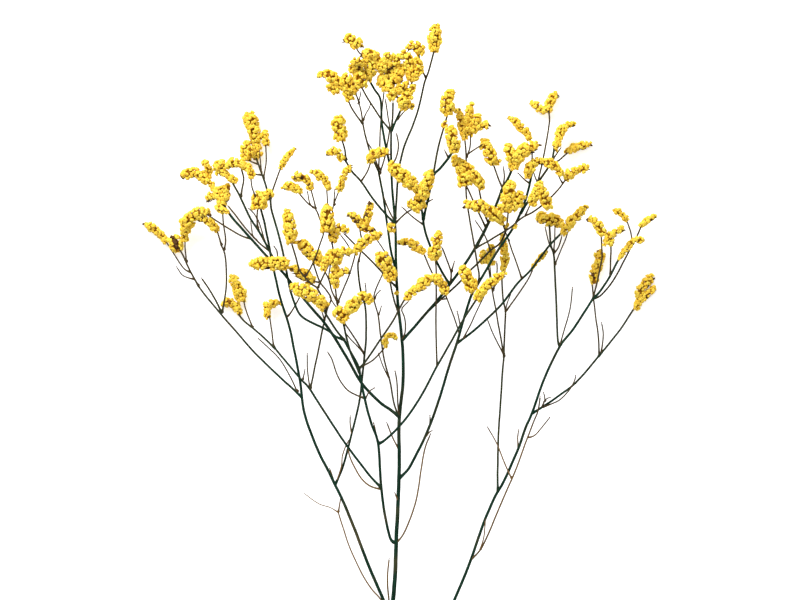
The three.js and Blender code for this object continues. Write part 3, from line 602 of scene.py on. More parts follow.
# Spikes: rings of florets packed round a core of their own feet, staggered from ring to
# ring, lying back at the foot and forward at the tip. Brown scales fill one side instead:
# the side that hung down while the plant grew, or the one that the spike's turn names.

spikeLook = {
    "Ring Step": 0.74,  # from ring to ring, as a share of a floret's length
    "Spacing": 0.9,  # and from floret to floret round a ring
    "Ring Length": 0.75 * math.tau,  # round a ring, for each unit of the spike's radius
    "Fewest": 3.0,  # florets in a ring
    "Stagger": 0.382,  # the turn from one ring to the next, as a share of a full one
    "Jitter": 0.28,  # how far a floret strays from its place in the ring
    "Shift": 0.35,  # and along the spike, in floret lengths
    "Floret Share": 0.3,  # floret length as a share of the spike's radius
    "Floret Extra": 0.0020,  # and what is added to it
    "Floret Most": 0.97,  # up to this share of the radius
    "Smallest": 0.78,  # florets vary between these shares of their length
    "Largest": 1.22,
    "Sunk": 0.95,  # the share of a floret that lies within the spike's radius
    "Foot Width": 0.74,  # the spike's width at its foot and tip, as a share of the middle
    "Foot End": 0.2,
    "Tip Width": 0.76,
    "Tip Start": 0.72,
    "Plump": 1.06,  # the middle's width, as a share of the CAD spike's
    "Bulge Scale": 180.0,  # noise that makes it uneven
    "Bulge Most": 1.2,
    "Bulge Least": 0.4,
    "Foot Pull": 0.5,  # florets near the foot and the tip are drawn towards the middle
    "Foot Pull End": 0.25,
    "Tip Pull": -0.85,
    "Tip Pull Start": 0.7,
    "Lean Foot": -0.15,
    "Lean Tip": 1.7,
    "Lean Start": 0.6,
    "Lean Jitter": 0.2,
    "Bare Side": (0.15, -0.85, -0.5),
    "Bare Angle": 0.85,  # half the bare side, in radians
    "Named Angle": 0.42,  # and where the spike names its side
    "Bare Share": 0.8,  # the rest of the bare side flowers all the same
    "Scale Lean": 1.5,  # how far the scales lie forward along the spike
    "Scale Growth": 1.6,  # a scale's length, as a share of the floret's that it replaces
    "Core": 0.5,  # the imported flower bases, as a share of the spike's radius
    "Core Sides": 7,
    "Core Brown And Gap Shade": 0.11,  # where their colour lies between a floret's foot and rim: the brown of the flower bases, set darker as painted shade for the gaps between florets
    "Seed": 5,
}


def floretLength(tree, given, radius):
    values = (radius, given["Floret Share"], given["Floret Extra"])
    length = maths(tree, "MULTIPLY_ADD", *values)
    return maths(tree, "MINIMUM", length, maths(tree, "MULTIPLY", radius, given["Floret Most"]))


# The spike's width ring by ring: narrower at both ends, and uneven between them.
def spikeWidth(tree, given, radius, along):
    foot = ramp(tree, along, 0.0, given["Foot End"], given["Foot Width"], 1.0)
    tip = ramp(tree, along, given["Tip Start"], 1.0, 1.0, given["Tip Width"])
    bulge = noise(tree, add(tree, "GeometryNodeInputPosition"), given["Bulge Scale"])
    bulge = maths(tree, "MULTIPLY_ADD", bulge, given["Bulge Most"], given["Bulge Least"])
    bulge = maths(tree, "MULTIPLY", given["Plump"], bulge)
    width = maths(tree, "MULTIPLY", radius, maths(tree, "MULTIPLY", foot, tip))
    return maths(tree, "MULTIPLY", width, bulge)


# What each ring hands on to its florets, by name.
def spikeRings(tree, given):
    radius = add(tree, "GeometryNodeInputRadius")
    step = maths(tree, "MULTIPLY", floretLength(tree, given, radius), given["Ring Step"])
    rings = smoothRoute(tree, given["Route"], step)
    along = tree.nodes.new("GeometryNodeSplineParameter").outputs["Factor"]
    rings, along = kept(tree, rings, "along", along)
    rings, width = kept(tree, rings, "width", spikeWidth(tree, given, radius, along))
    rings, tangent = kept(tree, rings, "tangent", add(tree, "GeometryNodeInputTangent"))
    rings, normal = kept(tree, rings, "normal", add(tree, "GeometryNodeInputNormal"))
    tilt = add(tree, "GeometryNodeInputNamedAttribute", {"Name": "tilt"}, data_type="FLOAT")
    named = maths(tree, "GREATER_THAN", tilt, 0.01)
    side = chosen(tree, named, given["Bare Side"], normal, "VECTOR")
    rings, side = kept(tree, rings, "side", vectors(tree, "NORMALIZE", side))
    halfAngle = chosen(tree, named, given["Bare Angle"], given["Named Angle"], "FLOAT")
    rings, edge = kept(tree, rings, "edge", maths(tree, "COSINE", halfAngle))
    return rings, {"along": along, "width": width, "tangent": tangent, "normal": normal,
        "side": side, "edge": edge}


# One point for each floret, with the direction that it grows in.
def floretPlaces(tree, given, rings, at):
    points = add(tree, "GeometryNodeCurveToPoints", {"Curve": rings}, mode="EVALUATED")
    points, ringNumber = kept(tree, points, "ring", add(tree, "GeometryNodeInputIndex"))
    length = floretLength(tree, given, at["width"])
    around = maths(tree, "MULTIPLY", at["width"], given["Ring Length"])
    around = maths(tree, "DIVIDE", around, maths(tree, "MULTIPLY", length, given["Spacing"]))
    amount = maths(tree, "MAXIMUM", maths(tree, "ROUND", around), given["Fewest"])
    points, amount = kept(tree, points, "amount", amount)
    node = add(tree, "GeometryNodeDuplicateElements",
        {"Geometry": points, "Amount": amount}, domain="POINT").node
    share = maths(tree, "DIVIDE", node.outputs["Duplicate Index"], amount)
    stagger = maths(tree, "MULTIPLY", ringNumber, given["Stagger"])
    jitter = maths(tree, "DIVIDE", spread(tree, given["Jitter"], given["Seed"], 1), amount)
    turns = maths(tree, "ADD", maths(tree, "ADD", share, stagger), jitter)
    angle = maths(tree, "MULTIPLY", turns, math.tau)
    copies, angle = kept(tree, node.outputs["Geometry"], "angle", angle)
    values = {"Vector": at["normal"], "Axis": at["tangent"], "Angle": angle}
    return copies, length, add(tree, "ShaderNodeVectorRotate", values)


# Moves the points out to the florets' feet, and along the spike.
def spreadOut(tree, given, copies, length, outward, at):
    reach = maths(tree, "SUBTRACT", at["width"], maths(tree, "MULTIPLY", length, given["Sunk"]))
    out = scaled(tree, outward, reach)
    atFoot = ramp(tree, at["along"], 0.0, given["Foot Pull End"], given["Foot Pull"], 0.0)
    atTip = ramp(tree, at["along"], given["Tip Pull Start"], 1.0, 0.0, given["Tip Pull"])
    shift = spread(tree, given["Shift"], given["Seed"], 3)
    shift = maths(tree, "ADD", shift, maths(tree, "ADD", atFoot, atTip))
    slide = scaled(tree, at["tangent"], maths(tree, "MULTIPLY", shift, length))
    return moved(tree, copies, vectors(tree, "ADD", out, slide))


# A spike on the ground is pressed flat beneath, so its florets stay above the surface.
def lifted(tree, copies, length):
    spot = parted(tree, add(tree, "GeometryNodeInputPosition"))
    height = maths(tree, "MAXIMUM", spot["Z"], length)
    above = add(tree, "ShaderNodeCombineXYZ", {"X": spot["X"], "Y": spot["Y"], "Z": height})
    return putAt(tree, copies, above)


def bareSpots(tree, given, outward, at):
    facing = vectors(tree, "DOT_PRODUCT", outward, at["side"]).node.outputs["Value"]
    bare = maths(tree, "GREATER_THAN", facing, at["edge"])
    picked = chance(tree, 0.0, 1.0, given["Seed"], 7)
    return maths(tree, "MULTIPLY", bare, maths(tree, "LESS_THAN", picked, given["Bare Share"]))


def spikeTree():
    pieces = {"Route": "Object", "Petals": "Material", "Brown": "Material",
        "Florets": "Collection", "Scales": "Collection"}
    tree, given = newTree("flower spikes", pieces, spikeLook)
    seed = given["Seed"]
    rings, at = spikeRings(tree, given)
    core = tube(tree, rings, circle(tree, given["Core Sides"], given["Core"]), at["width"])
    # The core takes the flower bases' brown, made darker as painted shade in the gaps between the florets.
    core = stored(tree, core, "lobe", given["Core Brown And Gap Shade"])

    copies, length, outward = floretPlaces(tree, given, rings, at)
    copies = spreadOut(tree, given, copies, length, outward, at)
    copies = lifted(tree, copies, length)
    bare = bareSpots(tree, given, outward, at)
    share = chance(tree, given["Smallest"], given["Largest"], seed, 2)
    size = maths(tree, "MULTIPLY", length, share)

    lean = ramp(tree, at["along"], given["Lean Start"], 1.0, given["Lean Foot"], given["Lean Tip"])
    lean = maths(tree, "ADD", lean, spread(tree, given["Lean Jitter"], seed, 4))
    forward = scaled(tree, at["tangent"], lean)
    spin = chance(tree, 0.0, fullTurn, seed, 5)
    turn = standing(tree, vectors(tree, "ADD", outward, forward), spin)
    full = maths(tree, "SUBTRACT", 1.0, bare)
    cups = scattered(tree, copies, given["Florets"], turn, size, full, seed)
    cups = stored(tree, cups, "tint", chance(tree, 0.0, 1.0, seed, 6), "INSTANCE")

    forward = scaled(tree, at["tangent"], given["Scale Lean"])
    turn = laidOn(tree, vectors(tree, "ADD", outward, forward), outward)
    size = maths(tree, "MULTIPLY", size, given["Scale Growth"])
    husks = scattered(tree, copies, given["Scales"], turn, size, bare, seed)
    finishTree(tree, given["Geometry"], [
        (cups, given["Petals"]), (husks, given["Brown"]), (core, given["Petals"]),
    ])
    return tree


stemTubes = stemTree()
flowerSpikes = spikeTree()

# Builders. A stem's sizes are its widths in millimetres at its two ends, and a spike's is
# its width in plan steps. Turn, in degrees, is where a spike's bare side looks: 180 is left,
# and 270 is up. At 0 it hangs as it grew.

def stem(base, tip, *route):
    radii = (base / 2000, tip / 2000)  # from a width in millimetres to a radius in metres
    return {"kind": "stem", "radii": radii, "route": route, "turn": 0.0}


def spike(width, *route, turn=0):
    radii = (width * plan["step"] / 2,) * 2
    return {"kind": "spike", "radii": radii, "route": route, "turn": math.radians(turn)}


# The stretches of one piece as splines, each point with its radius and the spike's turn.
def routeCurve(name, stretches):
    data = bpy.data.curves.new(name, "CURVE")
    data.dimensions = "3D"
    for stretch in stretches:
        first, last = stretch["radii"]
        route = stretch["route"]
        spline = data.splines.new("POLY")
        spline.points.add(len(route) - 1)
        for index, spot in enumerate(route):
            point = spline.points[index]
            point.co = (*place(spot, max(first, last)), 1)
            point.radius = first + (last - first) * index / (len(route) - 1)
            point.tilt = stretch["turn"]
    curve = bpy.data.objects.new(name, data)
    bpy.context.scene.collection.objects.link(curve)
    return curve


def feed(piece, tree, values):
    modifier = piece.modifiers.new(tree.name, "NODES")
    modifier.node_group = tree
    for socket in tree.interface.items_tree:
        if socket.in_out == "INPUT" and socket.name in values:
            modifier[socket.identifier] = values[socket.name]


triangleCounts = []


def grow(name, stretches):
    stalks = [stretch for stretch in stretches if stretch["kind"] == "stem"]
    spikes = [stretch for stretch in stretches if stretch["kind"] == "spike"]
    helper = bpy.data.objects.new(name, bpy.data.meshes.new(name))
    bpy.context.scene.collection.objects.link(helper)
    curves = []
    if stalks:
        curves.append(routeCurve(name + "_stalks", stalks))
        feed(helper, stemTubes, {**stemLook, "Route": curves[-1], "Bark": bark, "Brown": bracts,
            "Scales": scales, "Buds": buds})
    if spikes:
        curves.append(routeCurve(name + "_spikes", spikes))
        feed(helper, flowerSpikes, {**spikeLook, "Route": curves[-1], "Petals": petals,
            "Brown": bracts, "Florets": florets, "Scales": scales})
    evaluated = helper.evaluated_get(bpy.context.evaluated_depsgraph_get())
    mesh = bpy.data.meshes.new_from_object(evaluated)
    for unused in [helper, *curves]:
        bpy.data.objects.remove(unused)
    piece = bpy.data.objects.new(name + "_look", mesh)
    bpy.context.scene.collection.objects.link(piece)
    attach(piece, "root")
    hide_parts(name)
    triangleCounts.append(sum(len(face.vertices) - 2 for face in mesh.polygons))


def branch(name, *stretches):
    grow(name, stretches)


def spray(name, *stretches):
    grow(name, stretches)


# The main stem, with the short twigs along it and the three forks at its top.
branch("main_stem",
    stem(3.7, 1.3, (383, 800, 0), (384, 745, 2), (388, 690, 6), (391, 622, 12), (395, 575, 17),
        (396, 543, 20), (398, 500, 25), (399, 460, 30), (399, 420, 34), (403, 380, 38), (402, 340, 41),
        (397.5, 300, 45), (396, 260, 49), (395, 223, 54), (392, 185, 59), (391, 150, 62), (391, 131, 64)),
    stem(1.2, 0.9, (391, 622, 12), (387.5, 585, 15), (389, 560, 16)),
    stem(1, 0.8, (399, 450, 31), (393, 438, 33), (387, 423, 35)),
    stem(1, 0.8, (399.2, 417, 34.3), (398, 405, 38), (397, 383, 41), (395.5, 372, 42)),
    stem(1, 0.8, (391.3, 165, 60.7), (396, 158, 61.5), (398.5, 146, 62), (396.5, 134, 63)),
    stem(1.3, 1.1, (391, 131, 64), (381, 119, 66), (370, 102, 67), (362, 88, 69)),
    stem(1.3, 1.2, (391, 131, 64), (392.5, 117, 66), (393, 103, 67)),
    stem(1.6, 1.5, (391, 131, 64), (396, 120, 65), (402, 108, 66)),
    stem(1.1, 0.9, (396, 543, 20), (405, 531, 21), (416, 500, 24), (421, 470, 27), (425, 448, 29),
        (430, 435, 30.5)),
    stem(1.1, 0.9, (395, 223, 54), (406, 212.5, 52), (420, 205, 50), (431, 199.5, 49.5)),
    stem(0.9, 0.7, (402, 339, 41.5), (405, 332, 43), (405.5, 323, 44), (404, 315, 45), (401.5, 309, 46),
        (404, 305, 46), (408, 301, 46)),
    stem(1, 0.7, (398, 500, 25), (396.5, 497, 27), (395, 493, 28)),
    stem(0.8, 0.7, (397, 120, 65), (403, 113, 66), (408, 109, 66.5), (412, 107, 67)),
    spike(7, (390.5, 231, 54), (391, 226, 54.5), (391.5, 222, 55)),
    spike(4, (396.5, 294, 47), (396.5, 290, 47)),
)

# The two long side stems, which leave the main stem low down.
branch("left_stem",
    stem(2.4, 1.4, (391, 622, 12), (383, 600, 14), (370, 570, 16), (360, 544, 17), (350, 518, 19),
        (340, 495, 20), (330, 475, 21), (315, 444, 23), (304, 412, 25), (300.5, 385, 26), (297, 365, 27),
        (290, 330, 28), (280, 297, 30), (272, 262, 32), (268, 240, 33), (264, 221, 34), (260.5, 208, 35)),
    stem(1, 0.8, (335.2, 485.3, 20.5), (330, 470, 19)),
    stem(1.1, 0.8, (286, 316.4, 28.8), (291, 311, 30), (299, 297, 33)),
)

branch("right_stem",
    stem(2.3, 1.6, (384, 745, 2), (400, 714, 3.5), (420, 675, 5), (440, 633, 6.5), (455, 600, 8),
        (471, 560, 11), (484, 523, 13.5), (495, 497, 15.8), (504, 481, 17), (517, 452, 19), (526, 427, 21),
        (532, 413, 22), (544, 379, 24), (560, 346, 26), (573, 329, 26), (586, 309, 25), (593, 298, 24)),
    stem(0.9, 0.7, (560, 346, 26), (564, 331, 27), (570, 310, 28), (572.5, 288, 29)),
    stem(0.9, 0.7, (518.5, 449, 19.2), (518, 438, 20), (519, 430, 21)),
)

# The wiry twig low on the left.
branch("low_left_twig",
    stem(1, 0.8, (386, 608, 13.3), (379, 598, 12.5), (370, 588, 11), (360, 571, 10), (347, 541, 8),
        (338, 513, 6)),
    stem(0.6, 0.4, (338, 513, 6), (330, 508, 5), (318, 504, 4), (304, 494, 3)),
    stem(0.9, 0.7, (338, 513, 6), (339, 506, 7), (340, 499, 7.5)),
)

# The brown twig that rises on the right, beside the right stem.
branch("right_brown_twig",
    stem(1.2, 0.9, (471, 560, 11), (480, 551, 13), (486, 540, 14.5), (497, 514, 17.5), (507, 490, 20),
        (517, 467, 23.5), (525, 444, 26), (534, 421, 28), (538, 411, 28.7), (540, 397, 29.5)),
    stem(0.8, 0.7, (480, 551, 13), (484, 538, 16), (485.5, 521, 18)),
    stem(0.9, 0.7, (512, 479, 21.7), (504, 461, 22.5), (497, 443, 23), (488, 427, 24)),
    stem(0.9, 0.7, (528, 437, 26.6), (536, 434, 27), (549, 418, 29)),
)

# The branches of the left side.
branch("far_left_branch",
    stem(1.6, 1.2, (301.8, 397, 25.6), (290, 386, 23), (280, 377, 21.5), (262, 360, 18), (252, 350, 16),
        (230, 325, 13), (212, 304, 11), (198, 286, 9)),
    stem(0.9, 0.7, (297.5, 392.6, 24.5), (290, 376, 23), (278, 357, 20), (259, 339, 17)),
    stem(1.2, 1, (221, 313, 12), (225, 290, 13), (225.5, 265, 14), (224, 252, 15), (221, 245, 16)),
    stem(1.3, 1.1, (221, 313, 12), (215, 300, 11), (208, 288, 10.5), (201, 278, 10.5)),
)

branch("upper_left_branch",
    stem(2, 1.6, (396, 543, 20), (390, 538, 21), (384, 510, 26), (381, 485, 31), (378, 443, 38),
        (371, 422, 42), (365, 399, 46), (360.5, 378, 49), (359, 368, 50.5), (354, 357, 53), (344, 339, 57)),
    stem(1.5, 1.2, (359.4, 372, 50), (352, 355, 54.5), (346.5, 337, 57), (343, 321, 58), (337.5, 303, 59)),
    stem(1.1, 0.9, (381.5, 489, 30.2), (373, 487, 29.5), (366, 483, 28.5), (359, 475, 27.5), (350, 458, 27),
        (348, 448, 27)),
    stem(1, 0.8, (364.8, 398, 46.1), (350, 391, 45), (343, 384, 44), (337, 374, 43), (332, 359, 42),
        (328, 352, 41)),
    stem(1, 0.8, (378, 443, 38), (376, 433, 37), (374, 424, 37)),
    stem(0.8, 0.6, (341, 314, 58.3), (337, 307, 57), (334, 303, 56.5), (331, 298, 56)),
    stem(0.8, 0.6, (365, 399, 46), (369, 391, 46), (373, 388, 46)),
)

branch("low_left_branch",
    stem(1.7, 1.4, (381, 487, 30.7), (372, 478, 31), (364, 468, 31.5), (348, 447, 32), (328, 417, 33),
        (310, 389, 33), (301, 379, 32.5), (290, 366, 31), (275, 348, 26)),
    stem(0.9, 0.7, (310, 389, 33), (307.5, 372, 32), (307, 354, 31)),
    stem(0.8, 0.6, (302, 380, 32.6), (303.5, 375, 33), (304.5, 370, 33)),
)

branch("left_fan_branch",
    stem(2.2, 1.6, (399, 416, 34.5), (390, 409, 36), (380, 402, 37), (362, 383, 38.5), (346, 356, 39.5),
        (328, 327, 40), (313, 309, 40), (297, 290, 39.5), (282, 271, 38), (267, 256, 36.5),
        (251, 238, 33.5), (240, 226, 31), (232, 217, 29), (223, 204.5, 27)),
    stem(1.1, 0.9, (251, 238, 33.5), (241, 235, 31), (224, 225, 27), (208, 214.5, 24)),
)

branch("left_fan_fork",
    stem(1.6, 1.3, (282, 271, 38), (273, 257, 39), (264, 240, 39.5), (257, 228, 39.5), (250, 217, 39),
        (240, 196, 37), (235, 187, 35), (231.5, 181, 33.5)),
    stem(1.1, 0.9, (269.5, 250, 39.3), (260, 243, 38), (246, 228, 36), (234, 213, 34), (228.5, 206, 32)),
    stem(0.9, 0.7, (277.6, 264, 38.5), (277, 251, 40), (275, 247, 41)),
    stem(0.9, 0.7, (264.5, 241, 39.5), (261, 228, 41), (258, 219, 41.5)),
    stem(0.8, 0.6, (258, 231, 39.5), (257, 219, 39), (254, 213, 39), (250, 209, 39)),
    stem(0.8, 0.6, (257, 240, 38), (253, 235, 38), (252, 230, 38), (251, 222, 38)),
)

branch("top_left_branch",
    stem(1.6, 1.4, (344, 339, 57), (336, 336, 55), (330, 331, 53), (323, 327, 51), (308, 320, 48),
        (300, 314, 46.5), (295, 304, 45.5), (290, 288, 44.5), (286, 268, 43), (284, 258, 42),
        (280, 240, 38), (275, 222, 33), (271, 208, 28), (270, 199, 25)),
)

# Two twigs beside the main stem, and the branch that runs up to the crown.
branch("middle_left_twig",
    stem(1.3, 1, (397, 287, 46.3), (389, 279, 46), (371, 260, 47), (362, 251, 47.5), (353, 242, 49),
        (344.5, 233.5, 54)),
    stem(0.8, 0.7, (356, 245, 48.6), (352, 250, 48), (347, 243, 48.5), (341, 235, 49)),
)

branch("inner_twig",
    stem(1.2, 0.8, (399.3, 417, 34.2), (394, 403, 34), (390, 382, 33), (384, 358, 32), (380.5, 335, 31),
        (378, 315, 30), (374, 299, 29), (376, 288, 28), (383, 272, 27)),
    stem(0.8, 0.6, (389, 378, 33), (384, 368, 33.5), (379, 354, 34)),
    stem(0.7, 0.6, (374, 299, 29), (377, 293, 28.5), (379, 291, 28)),
    stem(0.7, 0.5, (378, 315, 30), (380, 310, 30.5), (381, 307, 31)),
)

branch("top_branch",
    stem(1.7, 1.4, (396.5, 275, 47.3), (394, 262, 47.5), (390.5, 248, 48), (386, 216, 48.5),
        (383, 195, 49.5), (378.5, 170, 51)),
    stem(1.3, 1.1, (378.5, 170, 51), (371, 155, 52), (366, 138, 53), (363, 124, 54)),
    stem(1, 0.8, (378.5, 170, 51), (379.5, 145, 53), (381, 118, 53.5), (384, 92, 55)),
    stem(1, 0.8, (379.5, 174, 50.8), (385, 155, 52.5), (389.5, 130, 54), (388, 118, 55), (385.5, 100, 56)),
    stem(1, 0.8, (395.8, 222.3, 53.8), (388, 208, 50), (382, 192, 49.8)),
    stem(0.8, 0.6, (363, 121, 54), (366, 113, 55), (369, 108, 55.5), (370, 105, 56)),
    stem(0.9, 0.7, (377.5, 166, 51.3), (373, 152, 53), (369, 144.5, 54)),
    stem(0.8, 0.7, (388.5, 257, 48), (386, 253, 48.5), (381, 245, 49), (377, 239, 49.5)),
)

# The branches of the right side, with the twig that crosses back to the middle.
branch("right_branch",
    stem(2, 1.6, (398.5, 478, 27.7), (407, 470, 28), (413, 460, 29.5), (426, 434, 32.5), (438, 402, 35.5),
        (449, 366, 38.5), (458, 338, 41), (465, 314, 43), (471, 295, 45), (478, 283, 46), (490, 262, 47),
        (500, 246, 47), (513, 227, 47), (521, 211, 47), (527, 193, 47), (531.5, 174, 47)),
    stem(0.9, 0.7, (529.5, 183, 47), (524, 179, 47), (519, 174, 47.5)),
    stem(0.9, 0.8, (459.5, 333, 41.3), (455, 319, 45), (450, 306, 49), (446, 296, 53)),
    stem(0.7, 0.5, (447, 298, 52), (444, 298.5, 52), (442, 299, 52)),
    stem(0.9, 0.6, (430, 424, 33.2), (430, 420, 33.5), (430, 416, 34)),
    stem(0.8, 0.6, (426, 436, 32.4), (429, 432, 32.5), (432, 430, 32.5)),
    stem(0.8, 0.7, (461, 328, 41.8), (459, 318, 43), (457.5, 312, 43.5)),
)

branch("centre_right_branch",
    stem(2, 1.8, (402, 339, 41.1), (410, 331, 41.5), (430, 308, 42), (440, 296, 42.5), (450, 283, 43.3),
        (465, 263, 44), (475, 247, 45), (485, 228, 46), (494, 209, 47), (501, 191, 49)),
    stem(1.1, 0.9, (450, 283, 43.3), (451, 272, 46), (447, 260, 48), (442, 247.5, 50)),
    stem(0.9, 0.7, (451, 272, 46), (454, 262, 47)),
    stem(1.6, 1.4, (475.5, 248, 45), (485.5, 228.5, 46.2), (494, 211, 47.2)),
)

branch("under_branch",
    stem(1.3, 1.2, (422, 317, 41.9), (436, 303, 40), (446, 294, 40), (460, 281, 40.5), (470, 270, 41),
        (480, 260, 41.5), (490, 250, 42), (500, 242, 42.3), (506, 229.5, 45)),
    stem(0.9, 0.7, (490, 250, 42), (487, 240, 41), (482, 230, 41), (476, 221, 42)),
)

branch("centre_twig",
    stem(1.6, 1.6, (449.5, 284, 43.3), (444, 275, 45), (436, 260, 48), (428, 240, 52), (424, 226, 55),
        (423, 219, 56.5)),
    stem(0.9, 0.7, (424, 225, 55), (412, 216, 55), (403, 207.5, 55)),
)

branch("lower_right_branch",
    stem(1.5, 1.2, (498, 491, 16.2), (498, 465, 18), (499, 430, 20), (502, 380, 23), (504, 357, 24.4)),
)

branch("far_right_branch",
    stem(1.6, 1.4, (532, 413, 22), (542, 407, 21), (557, 397, 19), (572, 386, 17), (583, 375, 15.5),
        (599, 356, 12.3)),
    stem(0.9, 0.7, (542, 407, 21), (545, 399, 23), (544, 393, 24)),
    stem(0.9, 0.7, (543, 407, 21), (553, 403, 21), (561, 399, 20.5), (568, 392, 20), (572, 386, 19.5),
        (575, 380, 19), (576, 376, 19)),
    stem(0.7, 0.6, (543.5, 402, 22), (547, 398, 22.5), (550, 397, 23)),
)

# Flower sprays: the last fork of a branch with the spikes it carries. The left side first.
spray("far_left_spray",
    stem(1.2, 1, (198, 286, 9), (190, 272, 8), (181, 253, 6.5), (176, 246, 5)),
    stem(0.9, 0.8, (190, 272, 8), (183, 268, 7), (175, 257, 5), (166, 243, 2.8), (162, 237, 2.5)),
    stem(0.9, 0.8, (185.4, 262, 7.2), (184, 248, 8), (184, 240, 7)),
    stem(0.8, 0.7, (194, 279, 8.5), (182, 275, 8), (176, 267, 8)),
    spike(14, (178, 250, 2), (174, 242, 2), (171, 235, 2), turn=262),
    spike(8, (166, 241, 0), (157, 231, 0), (150, 226, 0), (143, 222, 0)),
    spike(7, (184, 241, 7), (183, 234, 7), (185, 228, 8)),
    spike(13, (184, 233, 8), (185, 224, 10), (191, 216, 13), (199, 212, 17), (208, 211, 20)),
    spike(8, (217, 231, 18), (212, 224, 18), (204, 219, 18), (197, 216, 17)),
    stem(1, 0.9, (221, 245, 16), (217, 231, 18)),
)

spray("low_left_spray",
    stem(1.4, 1.2, (275, 348, 26), (259, 333, 19), (244, 321, 11), (238, 314, 4.5)),
    stem(1, 0.8, (273.5, 346.5, 25.4), (271, 328, 19), (268, 312, 9.5)),
    stem(1, 0.8, (252, 327.5, 15.3), (245, 309, 9), (243, 300, 4)),
    spike(11, (240.5, 301, 2), (238.5, 291, 0), (234, 282, 0), (231, 274, 0)),
    spike(9, (238.5, 313, 5), (235, 306, 2), (228, 301, 0), (221.5, 304, 0)),
    spike(8.5, (268, 317, 11), (266, 308, 8), (271, 303, 6), (280, 302, 5)),
)

spray("left_crest_spray",
    stem(1.2, 1, (223, 204.5, 27), (217, 195, 24), (212, 187, 21)),
    spike(11, (229, 187, 26), (220, 190, 24), (213, 194, 23), (206, 198, 22)),
    spike(10, (223, 205, 27), (220, 197, 25), (227, 198, 28)),
    spike(7, (229, 212, 30), (221, 209, 28), (216, 205, 26)),
    spike(11, (209, 182, 20), (203, 177, 18), (196, 173, 17), (188, 172, 15), (180, 175, 13)),
    spike(8, (209, 173, 19), (207, 166, 20), (203, 160, 20)),
    stem(1, 0.8, (223.2, 250, 15.3), (225, 240, 18), (223, 222, 24), (222, 209, 28)),
    spike(6, (214, 190, 22), (212, 185, 21), (208, 180, 20)),
    spike(10, (224, 201, 26), (219, 195, 25), (214, 191, 24)),
    spike(9, (230, 193, 26), (223, 195, 25), (216, 197, 24)),
)

spray("left_top_spray",
    stem(1.2, 1.1, (240.5, 197, 37.1), (242, 188, 37), (243.5, 178, 37), (241, 168, 37)),
    spike(8, (236, 182, 33), (230, 177, 33), (222, 172, 32), (214, 168, 31)),
    spike(11, (230, 166, 34), (221, 165, 32), (214, 165, 31)),
    spike(10, (248, 169, 37), (240, 163, 36.5), (227, 163, 34.5)),
)

spray("left_inner_spray",
    stem(1, 0.9, (257.4, 228.7, 39.5), (257, 214, 40), (258, 206, 39)),
    spike(15, (259, 208, 37), (260, 201, 38), (265, 196, 38)),
    spike(10, (260, 198, 38), (267, 193.5, 38), (273, 191, 38)),
    stem(1, 0.8, (257, 200, 38), (252, 187, 41.5), (251, 176, 43.5)),
    spike(6.5, (252, 178, 43.5), (251, 171, 43.5), (248, 163, 43.5)),
    spike(9, (254, 203, 38), (256, 196, 38), (261, 192, 38)),
)

spray("top_left_spray",
    stem(1.4, 1.2, (270, 199, 25), (264, 180, 18), (261, 172, 15), (255, 156, 7)),
    stem(0.9, 0.8, (263, 178, 17.2), (265.5, 160, 12), (265, 142, 8)),
    stem(0.9, 0.7, (261.5, 174, 15.8), (255, 173, 15), (250, 170, 14)),
    stem(1, 0.8, (257.7, 163, 10.6), (250, 160, 7), (246, 157, 5)),
    stem(1.1, 0.9, (270, 199, 25), (272, 190, 24), (278, 173, 23), (281, 166, 22)),
    spike(10, (246, 159, 4), (245, 149, 2), (247, 140, 2)),
    spike(10, (254, 158, 6), (256, 148, 3), (255, 138, 2)),
    spike(12, (256, 139, 1), (253, 128, 0), (251, 118, 0), (250, 111, 0)),
    spike(7, (266, 144, 8), (265, 136, 7), (264, 128, 6)),
    spike(7, (280, 168, 22), (284, 160, 21), (290, 152, 20), (295, 147, 19)),
    stem(0.8, 0.7, (261, 172, 15), (260, 163, 14), (259, 154, 13)),
    spike(6, (257, 138, 5), (262, 134, 6), (265, 130, 6)),
    spike(8, (250, 127, 1), (246, 119, 1), (246, 111, 1)),
    spike(6, (250, 155, 10), (250, 149, 10), (250, 145, 10), turn=262),
)

spray("left_arch_spray",
    stem(1.3, 1.2, (285.7, 266, 43), (287, 265, 47), (288, 264, 50)),
    spike(12, (289, 264, 50), (277, 263, 51), (265, 263, 51), (251, 263, 50)),
)

spray("upper_left_arch_spray",
    stem(1.4, 1.3, (344.5, 339.8, 56.8), (336, 329, 59), (326, 313, 61), (322, 305, 62)),
    spike(13, (326, 307, 61), (318, 299, 62), (309, 293, 62), (300, 289, 62), (291, 286, 62)),
)

spray("left_tall_spray",
    stem(1.2, 1.1, (326, 313, 61), (326, 306, 57.5), (324, 300, 54), (317, 287, 52), (312, 284, 51),
        (302, 273, 50), (299, 268, 50), (296, 257, 50), (292, 243, 50)),
    stem(1, 0.9, (305, 276, 50.3), (310, 269, 53), (316, 256, 56), (320, 244, 57), (324, 230, 58),
        (320, 218, 59), (316, 209, 60), (308, 203, 60), (297, 190, 60)),
    stem(0.9, 0.8, (316, 209, 60), (315, 204, 60), (310, 185, 61.5)),
    spike(13, (292, 243, 50), (290, 228, 50), (289, 218, 50), (287, 209, 50)),
    spike(8, (301, 193, 60), (295, 188, 60), (288, 185, 60), (283, 188, 60)),
    spike(9, (312, 190, 61), (308, 181, 62), (301, 176, 62), (293, 178, 62), turn=245),
    stem(0.8, 0.6, (314, 208, 60), (310, 203, 60.5), (308, 193, 61)),
)

